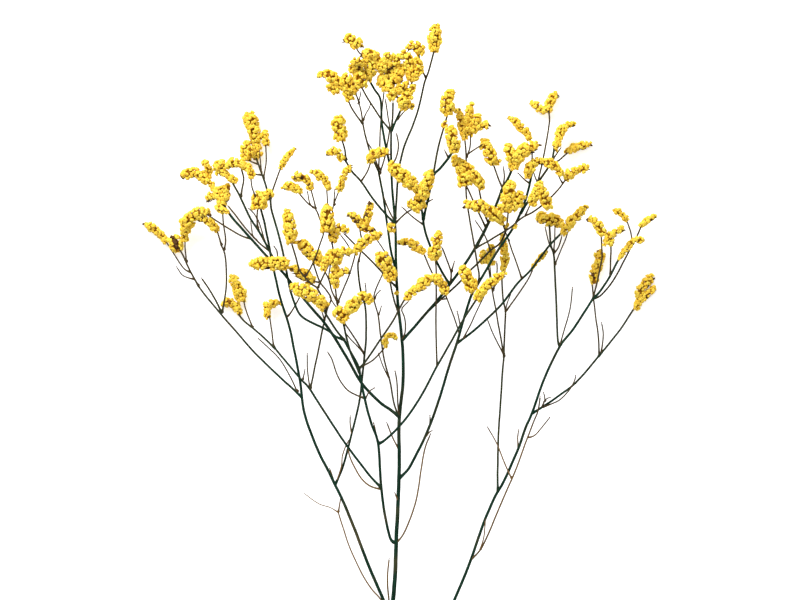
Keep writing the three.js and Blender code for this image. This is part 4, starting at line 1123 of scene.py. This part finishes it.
# The sprays of the middle.
spray("left_centre_spray",
    stem(1.1, 1, (317.5, 288, 52.2), (325, 272, 53), (330, 261, 54), (333, 249, 56), (332, 243, 59),
        (329, 232, 64)),
    stem(0.9, 0.8, (332, 243, 59), (329, 222, 61), (328, 205, 61), (327, 188, 61)),
    stem(0.9, 0.8, (332, 243, 59), (333, 222, 62), (333, 208, 62), (340, 189, 62)),
    stem(0.8, 0.7, (334, 206, 62), (335, 191, 63)),
    spike(13, (327, 232, 65), (328, 220, 66), (327, 204, 66)),
    spike(10, (334, 241, 61), (334, 232, 62), (340, 228, 62), (348, 230, 62)),
    spike(8, (330, 190, 61), (325, 180, 62), (319, 174, 62), (311, 171, 62)),
    spike(7, (340, 191, 62), (342, 180, 64), (346, 172, 65), (351, 165, 66)),
)

spray("low_centre_spray",
    stem(1.2, 1, (310, 389, 33), (314, 370, 33), (319, 346, 33.5), (325, 316, 34), (328, 306, 35),
        (331, 298, 36), (326, 289, 37), (320, 281, 38), (314, 265, 40.5), (312, 251, 43)),
    spike(12.5, (322, 262, 43), (313, 254, 43), (305.5, 247, 43), (299.5, 240, 43)),
    stem(1, 0.9, (321, 282, 37.8), (310, 280, 36)),
    spike(12, (314, 282, 36), (306, 276, 36), (299, 271, 36), (291, 266, 36), turn=200),
    stem(0.8, 0.6, (324.5, 320, 34), (322, 312, 35), (320, 305, 36)),
)

spray("centre_fork_spray",
    stem(1.1, 1, (337.5, 303, 59), (336, 290, 61), (335, 282, 62)),
    stem(1, 0.9, (337, 300, 59.5), (332, 290, 60.5), (329, 279, 61.5), (323, 267, 62)),
    stem(1, 0.9, (337.5, 303, 59), (343, 290, 59), (350, 272, 57), (356, 251, 55)),
    spike(8, (335, 287, 61.5), (335, 275, 62.5), (335, 264, 63.5)),
    spike(9, (335, 274, 62.5), (344, 271, 63), (349, 270, 63)),
    spike(8, (323, 270, 62), (327, 258, 62.5), (332, 249, 63)),
    spike(13, (333, 264, 64), (337, 254, 65), (343, 251, 65), (351, 252, 65)),
    spike(10, (355, 253, 55), (362, 243, 55), (371, 237, 55), (382, 233, 55)),
    stem(0.8, 0.7, (329, 279, 61.5), (329.5, 270, 62), (331, 262, 62.5)),
)

spray("left_mid_spray",
    stem(1.6, 1.2, (335, 484.3, 20.4), (342, 468, 22), (348, 447, 23.5), (353, 427, 24.5), (359, 402, 26),
        (362, 378, 27.5), (364, 358, 29.5), (366, 335, 33), (365, 306, 37), (361, 292, 39),
        (358, 270, 41), (358, 262, 42)),
    stem(0.9, 0.7, (351.5, 433, 24.3), (350, 424, 24), (350, 416, 23)),
    stem(1.2, 0.9, (364.3, 354, 30), (355, 338, 31), (345, 323, 33)),
    stem(1, 0.9, (358, 262, 42), (361, 250, 43), (363, 243, 45), (361, 235, 48), (359, 221, 54)),
    spike(8, (361, 224, 53), (354, 216, 54), (348, 213, 54), turn=230),
    spike(9, (364, 225, 52), (368, 214, 51), (371, 203, 49), turn=215),
    spike(7, (357, 222, 53), (366, 228, 52), (375, 229, 51), turn=300),
    stem(0.8, 0.7, (336.5, 481, 20.8), (341, 466, 24), (342, 456, 25), (345, 447, 26), (348, 441, 27)),
    stem(0.8, 0.7, (364, 353, 30.2), (356, 344, 33), (351, 339, 34), (346, 333, 35)),
    stem(0.8, 0.6, (365, 303, 37.5), (366, 291, 38), (365.5, 284, 38.5)),
)

spray("centre_low_spray",
    stem(1.2, 1.1, (398.7, 312, 43.8), (395, 303, 47), (392, 292, 52), (390, 282, 56)),
    spike(13, (391, 280, 56), (389.5, 271, 57), (385, 262, 57), (378, 252, 57)),
)

spray("bridge_spray",
    stem(1.4, 1.1, (359, 368, 50.5), (366, 360, 51), (382, 336, 52), (394, 318, 52.5), (404, 299.5, 53.5),
        (408, 296, 54.5)),
    stem(1, 0.9, (361, 366, 50.7), (372, 360, 50), (382, 350, 48), (386, 344, 47)),
    spike(6, (385, 347, 47), (386, 337, 46), (391, 334, 46), (397, 338, 46)),
    spike(10, (406, 299, 55), (412, 291, 55), (420, 286, 55), (428, 279, 55), (435, 275, 55)),
    spike(9, (446, 294, 53), (443, 285, 54), (438, 279, 55), (432, 276, 55)),
)

spray("left_wing_spray",
    stem(1.3, 1.2, (344, 325, 57.8), (345, 318, 61), (346, 312, 64)),
    spike(12, (346, 320, 63), (340, 313, 64), (335, 309, 64)),
    spike(11, (346, 313, 64), (353, 304, 65), (361, 297, 65), (368, 297, 65), (371, 302, 65)),
)

spray("crossing_spray",
    stem(1.7, 1.3, (378, 443, 38), (385, 439, 40), (398, 427, 43), (412, 409, 44.5), (425, 388, 46),
        (437, 365, 48), (450, 342, 51), (462, 321, 53.5), (474, 302, 55.5), (478, 296, 57)),
    stem(1.1, 0.9, (437, 365, 48), (436, 345, 48), (436, 300, 48), (436, 282, 48.5), (436, 268, 51.5),
        (435, 258, 57)),
    spike(9, (476, 299, 57), (482, 290, 58), (488, 284, 58), (496, 278, 58), (505, 272, 58)),
    spike(11, (434.5, 259, 57), (435.5, 249, 58), (437.5, 239, 58), (439.5, 231, 58)),
    spike(6, (433, 257, 57), (429, 253, 57)),
)

spray("under_spray",
    stem(1, 0.9, (443.7, 291.2, 42.8), (436, 280, 40), (431, 270, 39), (426, 258, 39), (422, 249, 39)),
    spike(9.5, (424, 253, 39), (416, 246, 39), (408, 242, 39), (398, 241, 39)),
)

spray("upper_centre_spray",
    stem(1.6, 1.8, (423, 220, 56.3), (425, 211, 58), (428, 198, 60), (433, 176, 62), (440, 168, 63.5),
        (448, 158, 65.5), (454, 148, 69)),
    stem(1.3, 1.1, (432.5, 177, 62), (438, 148, 63.5), (443, 130, 65), (448, 112, 67)),
    spike(12, (448, 115, 66), (447, 106, 67), (448, 98, 67), (452, 90, 67)),
    spike(7, (444, 127, 65), (445, 121, 66)),
    spike(12.5, (454, 152, 69), (453, 142, 70), (451, 134, 70), (449, 128, 70)),
    stem(0.8, 0.6, (448, 158, 65.5), (446, 153, 66), (445, 151, 66)),
    spike(5, (454, 113, 66), (458, 109, 66)),
)

spray("centre_crest_spray",
    stem(1.6, 1.5, (423, 219, 56.5), (422, 212, 60), (421, 206, 63), (421, 196, 67)),
    spike(13, (422, 209, 63), (416, 203, 63), (408, 204, 63)),
    spike(13, (421, 198, 67), (425, 187, 68), (429, 177, 68), (430, 170, 68)),
    spike(8, (420, 195, 68), (416, 187, 69), (414, 180, 69)),
    spike(13, (414, 187, 69), (405, 178, 70), (397, 171, 70), (389.5, 163, 70)),
)

# The crown.
spray("shoulder_spray",
    stem(1.5, 1.3, (395, 223, 54.2), (386, 214, 55.5), (374, 200, 57), (361, 181, 60), (352, 171, 61),
        (346, 161, 62), (341, 157, 62.5)),
    stem(1.2, 1.1, (346, 161, 62), (345, 150, 63), (341, 137, 65)),
    stem(1, 0.9, (361, 181, 60), (367, 172, 62), (371, 161, 63)),
    spike(13, (341, 141, 65), (340, 130, 65), (338, 116, 65)),
    spike(9, (343, 160, 63), (338, 153, 63), (333, 151, 63), (328, 153, 63)),
    spike(10, (370, 163, 63), (373, 155.5, 64), (380, 153, 64), (388, 151.5, 64)),
)

spray("top_outer_spray",
    stem(1.2, 1, (363, 124, 54), (352, 108, 56), (347, 96, 58)),
    stem(1, 0.9, (363, 124, 54), (361, 110, 56), (355, 90, 60)),
    spike(11, (350, 100, 57), (348, 93, 58), (342, 85, 58), (335, 79, 58), (326, 74, 58), (318, 75, 58)),
    spike(12, (357, 92, 60), (350, 83, 60), (342, 76, 60)),
    stem(0.7, 0.6, (358, 104, 57), (360, 97, 58.5), (361, 92, 60)),
    spike(9, (338, 92, 57), (333, 88, 57), (330, 83, 57)),
)

spray("top_left_cluster",
    stem(1.6, 1.5, (391.5, 170, 60.3), (389, 161, 59.5), (384, 137, 58.5), (381.5, 120, 58.5),
        (380.3, 99, 60), (375, 90, 62), (368, 78, 66)),
    stem(1.2, 1.1, (362, 88, 69), (361, 82, 70)),
    stem(1, 0.9, (367.6, 57.4, 68), (360, 54, 68), (354, 44, 68)),
    stem(1, 0.9, (367.6, 57.4, 68), (360, 62, 68.5), (357, 69, 70.5)),
    spike(13, (366, 80, 65), (370, 70, 66), (377, 62, 67)),
    spike(11, (362, 88, 70), (361, 80, 71), (357, 73, 71)),
    spike(8, (354, 73, 70), (353, 67, 73), (356, 62, 75), (361, 62, 75), (363, 67, 74), turn=2),
    spike(11, (379, 62, 67), (371, 55, 68), (362, 54, 68)),
    spike(12, (359, 47, 68), (353, 41, 68), (346, 38.5, 68)),
    spike(10, (377, 69, 66.5), (384, 67, 68.5), (392, 65, 70)),
    spike(8, (383, 65, 69), (388, 57, 70), (395, 57, 71)),
    spike(6, (357, 47, 68), (363, 46, 68)),
    spike(9, (362, 66, 68), (367, 61, 68), (371, 57, 68)),
    spike(9, (361, 73, 67), (359, 68, 68), (357, 63, 68), turn=262),
    spike(6, (386, 62, 67), (391, 59, 68), (396, 60, 68), turn=262),
    spike(9, (394, 66, 70), (398, 60, 70), (401, 55, 70)),
)

spray("top_middle_cluster",
    stem(1.2, 1.1, (402, 108, 66), (405, 100, 67), (409, 90, 67), (413, 80, 67)),
    spike(12, (385, 91, 64), (388, 83, 65), (399, 78, 67)),
    spike(11, (393, 100, 68), (391, 92, 69), (388, 84, 68)),
    spike(13, (401, 109, 67), (405, 100, 68), (409, 91, 68)),
    stem(1, 1, (392, 96, 68.6), (403, 99, 68)),
    spike(12, (414, 82, 68), (411, 70, 68), (408, 60, 68), (403, 53, 67)),
    spike(8, (399, 81, 68), (402, 71, 69)),
    spike(8, (414, 80, 69), (418, 73, 71), (419, 66, 71)),
    spike(12, (379, 86, 62), (386, 76, 64), (394, 71, 66), (401, 68, 67)),
    spike(10, (392, 79, 66), (399, 73, 67), (405, 66, 67)),
    spike(9, (397, 93, 67), (402, 87, 68), (408, 83, 68)),
    spike(7, (420, 74, 70), (420, 66, 70), (415, 58, 70)),
    spike(5, (409, 108, 66), (414, 105, 66)),
    spike(7, (408, 98, 68), (412, 90, 68), (414, 85, 68)),
)

spray("top_tip_spray",
    stem(1.4, 1.2, (395, 219, 54.4), (396.5, 200, 56), (398.5, 172, 59), (404, 147, 61), (412, 127, 62),
        (418, 110, 62.5), (424, 84, 63), (426.5, 77, 63), (429, 70, 63), (434, 51, 62)),
    stem(1, 0.9, (426, 79, 63), (423, 72, 63), (420, 62, 64), (418.5, 52, 64.5)),
    spike(12.5, (434, 52, 62), (434.5, 39, 61), (436, 24.5, 60)),
    spike(10, (421, 55, 64.5), (418, 48, 65), (412, 46.5, 65), (407, 49, 65)),
)

# The sprays of the right side.
spray("right_tall_spray",
    stem(1.2, 1, (477, 285, 46), (479, 276, 48), (477, 262, 49.5), (475, 250, 50.5), (470, 222, 52),
        (466, 193, 53), (466, 155, 55), (464, 134, 57)),
    stem(0.9, 0.8, (466, 158, 54.9), (470, 146, 55), (470, 130, 56)),
    stem(0.9, 0.8, (466, 155, 55), (473, 150, 55), (482, 144, 55.5)),
    spike(9, (464, 139, 56), (462, 128, 57), (460, 118, 57), (457, 109, 57)),
    spike(9, (469, 135, 56), (470, 122, 57), (469, 112, 57), (472, 103, 57)),
    spike(9, (472, 132, 57), (476, 122, 58), (478, 114, 58)),
    spike(9, (473, 126, 57), (481, 126, 58), (488, 124, 58)),
    spike(9, (468, 131, 57), (466, 121, 57), (468, 112, 57)),
)

spray("right_lean_spray",
    stem(1.1, 1, (485.5, 227, 46.1), (477, 209, 50), (472, 198, 54), (465, 183, 60)),
    stem(1.1, 1, (488, 222, 46.4), (484, 212, 49), (479, 190, 56), (478, 180, 60)),
    spike(17, (466, 184, 60), (466, 178, 62), (465, 173, 63)),
    spike(10, (482, 188, 60), (477, 178, 62), (470, 171, 62), (462, 164, 61), (453, 157, 58.5)),
    spike(9, (464, 178, 60), (459, 168, 61), (454, 160, 60)),
)

spray("right_crest_spray",
    stem(1.1, 1, (506, 229.5, 45), (503, 223, 48.5), (501, 216, 53)),
    spike(12, (503, 221, 52), (495, 214, 56), (486, 209, 58), (475, 205, 59), (465, 204, 59)),
    spike(8, (497, 212, 56), (502, 207, 57), (507, 204, 57)),
    spike(12, (505, 212, 56), (507, 200, 57), (509, 190, 58), (510, 181, 58)),
    spike(10, (512, 210, 57), (518, 200, 57), (521, 191, 57)),
    stem(1, 0.9, (506.6, 204, 57), (515, 205, 57)),
    stem(1, 0.9, (506, 229, 46), (507, 220, 50), (508, 210, 55)),
    spike(4, (506, 227, 50), (508, 223, 51)),
)

spray("upper_right_spray",
    stem(1.8, 1.6, (501, 191, 49), (509, 175, 50), (514, 163, 52)),
    stem(1.1, 1, (502.5, 187.5, 49.2), (498, 178, 50.5), (492, 161, 53)),
    stem(0.9, 0.8, (502.8, 187, 49.3), (504, 176, 51), (503, 168, 52)),
    spike(11, (514, 169, 51), (513, 158, 52), (509, 150, 52), (508, 143, 52)),
    spike(11, (515, 163, 52), (522, 152, 53), (529, 148, 53), (537, 143, 53)),
    spike(11.5, (493, 165, 52), (490, 155, 53), (486, 147, 53), (483, 139, 53)),
    stem(0.8, 0.6, (507, 180, 49.7), (510, 172, 50), (509, 169, 50)),
    spike(6, (495, 163, 52), (500, 160, 52)),
    spike(10, (515, 165, 52), (518, 156, 53), (520, 150, 53)),
)

spray("right_arch_spray",
    stem(1.4, 1.3, (531.5, 174, 47), (530, 167, 49.5)),
    spike(9, (526, 177, 49), (529, 168, 50), (535, 162, 50), (545, 160, 50)),
    spike(9, (562, 175, 49), (557, 168, 50), (551, 164, 50), (541, 160, 50)),
    stem(1, 0.9, (530.5, 169, 48.8), (532, 155, 46), (530.5, 146, 45), (529.5, 137, 46)),
    spike(7, (530, 140, 45.5), (526, 132, 46), (520, 126, 46), (514, 121, 46), (508, 116, 46)),
)

spray("far_upper_right_spray",
    stem(1.7, 1.4, (520.3, 213, 47), (525, 205, 44), (529, 199, 42), (538, 182, 36), (548, 167, 29),
        (552, 160, 25), (555, 146, 18)),
    stem(1.1, 1, (537.5, 183, 36.3), (542, 163, 29), (546, 145, 20), (550, 120, 9), (549, 108, 5)),
    stem(1.1, 1, (552, 160, 25), (558, 160, 20), (564, 155, 12), (570, 150, 5)),
    stem(0.9, 0.7, (552, 160, 25), (556, 154, 25), (561, 147, 26)),
    spike(8.5, (555, 149, 18), (558.5, 140, 14), (561, 131, 11), (567, 124.5, 9), (576, 121.5, 7)),
    spike(8.5, (567, 150.5, 6), (575, 146.5, 2), (582, 144.5, 0), (592, 142, 0)),
    spike(9, (549, 107.5, 5), (551.5, 98.5, 1), (557.5, 91.5, 0)),
    spike(8, (550, 108.5, 5), (541, 107.5, 2), (537, 103.5, 0), (532, 100.5, 0)),
    stem(0.8, 0.7, (538, 183, 36.3), (535, 176, 38), (533, 170, 40)),
)

spray("right_wing_spray",
    stem(1.2, 1, (475, 247.5, 45), (487, 241, 47.5), (500, 233, 50), (510, 227, 51), (522, 217, 51),
        (533, 211, 50), (546, 201, 47), (558, 189, 44), (567, 177, 41)),
    stem(1.1, 1, (545, 202, 47.3), (547, 205, 51), (547, 203, 53.5)),
    spike(10, (530, 204, 54), (536, 192, 55), (541, 181, 55)),
    spike(10, (549, 208, 53), (545, 198, 55), (540, 186, 55)),
    spike(9, (566, 180, 42), (572, 172, 41), (578, 170, 40), (583, 168, 39), (589, 166, 38)),
    stem(0.8, 0.6, (563, 183, 42.5), (560, 178, 44), (558, 174, 46)),
    stem(0.8, 0.7, (525, 214.5, 51), (529, 206, 52.5), (530, 203, 53)),
    spike(4, (514, 228, 51), (516, 224, 51)),
)

spray("right_long_spray",
    stem(1.6, 1.4, (456.5, 342.5, 40.6), (470, 333, 39), (488, 317, 37), (503, 302, 35), (517, 283, 33),
        (530, 270, 31), (543, 253, 29), (551, 243, 27.5), (562, 232, 25)),
    stem(0.9, 0.7, (463, 338.5, 40), (470, 325, 41.5), (476, 312, 43), (486, 291, 45)),
    stem(1, 0.8, (521.7, 278.3, 32.3), (518, 267, 36), (512, 250, 41), (508.8, 240, 43.3)),
    spike(10, (562, 233, 25), (568, 224, 24), (575, 218, 23), (582, 210, 22), (587, 205, 21)),
    stem(0.8, 0.7, (509, 241, 43), (504, 228, 45), (502, 222, 46)),
)

spray("right_inner_spray",
    stem(1.4, 1.2, (560, 346, 26), (558, 338, 25.5), (557, 310, 24), (555.5, 280, 22), (554.5, 256, 20),
        (551, 243, 18), (550, 226, 15), (550, 217, 13)),
    stem(0.9, 0.8, (554, 253, 19.5), (559, 246, 18), (562, 236, 17)),
    spike(13, (562, 223, 12), (554, 219, 13), (546, 218, 13), (538, 214, 13)),
    stem(0.8, 0.7, (554, 252, 19.3), (549, 241, 16.5), (546, 228, 14)),
    stem(0.8, 0.6, (554, 251, 19.2), (555, 238, 16.5), (555.5, 224, 14.5)),
    stem(0.8, 0.7, (555, 265, 20.8), (561, 250, 21.5), (566, 238, 22.5), (569, 229, 23.5)),
)

spray("far_right_spray",
    stem(1.4, 1.2, (599, 356, 12.3), (611, 342, 9), (622, 328, 5.5), (631, 314, 2), (640, 301, 0)),
    stem(1.1, 0.9, (600, 355, 12), (599, 335, 9), (597, 318, 6), (594, 293, 3), (593, 280, 1)),
    stem(0.9, 0.7, (602, 352, 11.5), (604, 335, 12), (602.5, 323, 12)),
    stem(1.4, 1.4, (636, 306, 1), (639, 296, 1)),
    spike(8, (636, 308, 1), (642, 299, 0), (649, 293, 0), (657, 286, 0)),
    spike(9, (639.5, 300, 1), (641.5, 290, 0), (647.5, 283, 0), (654, 274, 0)),
    spike(9, (596, 283, 1), (594.5, 275, 0), (595.5, 268, 0), turn=262),
    spike(10, (596, 272, 0), (600, 262, 0), (601, 256, 0), (599, 249, 0)),
)

spray("right_tip_spray",
    stem(1.6, 1.4, (593, 298, 24), (600, 291, 24), (610, 276, 23), (619, 259, 21), (626, 250, 19.5)),
    stem(1.1, 1, (610.5, 275, 23), (611, 262, 24), (611, 244, 25), (607, 242, 26)),
    stem(1.2, 1, (593, 298, 24), (602, 294, 22), (615, 278, 18), (626, 258, 14), (633, 244, 12),
        (639, 233, 10), (643, 223, 8.5)),
    stem(0.9, 0.8, (633, 244, 12), (632, 232, 11), (627, 217, 10)),
    stem(1.1, 0.9, (593, 298, 24), (597, 283, 25), (602, 259, 26), (602, 246, 26), (601.5, 232, 26)),
    spike(6, (619, 259, 21), (627, 248, 19), (637, 237, 17)),
    spike(7, (634, 239, 17), (644, 239, 16)),
    spike(8, (604, 245, 26), (609, 238, 26), (615, 232, 26), (624, 227, 26)),
    spike(6, (629, 220, 10), (622, 212, 10), (615, 208, 10)),
    spike(7, (641, 226, 9), (648, 220, 8), (657, 214, 8)),
    spike(10, (604, 235, 26), (600, 226, 26), (595, 220, 26), (590, 218, 26)),
    spike(5, (610, 244, 26), (614, 241, 26)),
)

spray("lower_right_spray",
    stem(1.2, 1.1, (504, 357, 24.4), (504.5, 335, 25.5), (505.5, 315, 27), (505, 308, 27.3), (503, 298, 28),
        (502, 279, 29), (503, 266, 30)),
    stem(1.1, 0.9, (504, 355, 24.5), (501, 338, 26), (498, 322, 27), (495, 305, 28), (492, 289, 30),
        (488, 263, 32)),
    stem(0.9, 0.7, (504, 354, 24.6), (494, 335, 25), (488, 320, 26)),
    stem(1, 0.8, (505.4, 311, 27.2), (520, 291, 26), (530, 275, 24.5), (534, 265, 24)),
    stem(0.9, 0.8, (492.5, 291, 29.7), (497, 272, 30), (497, 262, 30)),
    spike(8, (490, 264, 32), (490, 254, 32), (492, 244, 32)),
    spike(8, (503, 270, 30), (505, 258, 31), (504, 246, 31), (502, 233, 31)),
    spike(5, (532, 268, 24), (537, 261, 23), (548, 250, 22)),
    stem(0.7, 0.5, (492, 289, 30), (494.5, 286, 30.5), (496, 284, 31)),
    stem(0.7, 0.6, (491.5, 286, 30.2), (491, 276, 31), (490, 265, 32)),
    stem(0.7, 0.6, (505, 311, 27.2), (507, 303, 27.5), (510, 295, 28)),
    spike(8, (485, 263, 33), (483, 256, 33), (484, 249, 33)),
)

spray("right_small_spray",
    stem(1.2, 1.2, (471, 294.5, 45), (473, 291, 48), (473, 287, 51)),
    spike(11.5, (473, 290, 50.5), (469, 281, 52), (465, 272, 52), (461.5, 265, 52)),
)


print("plant grown:", len(triangleCounts), "pieces,", sum(triangleCounts), "triangles")

# The surface it lies on, the light and the camera.

floorLook = {
    "size": 60.0,
    "colour": (0.9, 0.9, 0.9),
    "glow": 0.5,  # a lit white sheet, so the shadows stay faint
    "roughness": 0.9,
    "shine": 0.1,
}


def layFloor(look):
    half = look["size"] / 2
    mesh = bpy.data.meshes.new("floor")
    mesh.from_pydata([(-half, -half, 0), (half, -half, 0), (half, half, 0), (-half, half, 0)],
        [], [(0, 1, 2, 3)])
    material, shader = newMaterial("white sheet", look)
    shader.inputs["Base Color"].default_value = (*look["colour"], 1)
    shader.inputs["Emission Color"].default_value = (1, 1, 1, 1)
    shader.inputs["Emission Strength"].default_value = look["glow"]
    mesh.materials.append(material)
    floor = bpy.data.objects.new("floor", mesh)
    bpy.context.scene.collection.objects.link(floor)


lightLook = {
    "sky": 0.62,
    "key": {"place": (-1.1, 2.1, 2.0), "size": 1.5, "power": 104},
    "fill": {"place": (2.0, -1.2, 2.4), "size": 2.4, "power": 12},
}


def setLights(look):
    world = bpy.data.worlds.new("studio")
    world.use_nodes = True
    sky = world.node_tree.nodes["Background"]
    sky.inputs["Color"].default_value = (1, 1, 1, 1)
    sky.inputs["Strength"].default_value = look["sky"]
    bpy.context.scene.world = world
    for name in ("key", "fill"):
        data = bpy.data.lights.new(name, "AREA")
        data.size = look[name]["size"]
        data.energy = look[name]["power"]
        light = bpy.data.objects.new(name, data)
        light.location = look[name]["place"]
        light.rotation_euler = (-light.location).to_track_quat("-Z", "Y").to_euler()
        bpy.context.scene.collection.objects.link(light)


cameraLook = {
    "height": 8.0,
    "centre": (0.0, 112.75 * plan["step"]),  # the middle of the frame, on the plan
    "across": 800 * plan["step"],  # metres across the frame
    "level": 0.05,  # the height at which that is measured
    "sensor": 36,
    "farthest": 100,
}


def setCamera(look):
    data = bpy.data.cameras.new("camera")
    data.sensor_width = look["sensor"]
    data.lens = look["sensor"] * (look["height"] - look["level"]) / look["across"]
    data.clip_end = look["farthest"]
    camera = bpy.data.objects.new("camera", data)
    camera.location = (*look["centre"], look["height"])
    bpy.context.scene.collection.objects.link(camera)
    bpy.context.scene.camera = camera


layFloor(floorLook)
setLights(lightLook)
setCamera(cameraLook)
bpy.context.scene.view_settings.view_transform = "Standard"  # keeps the white white
print("floor, light and camera set")
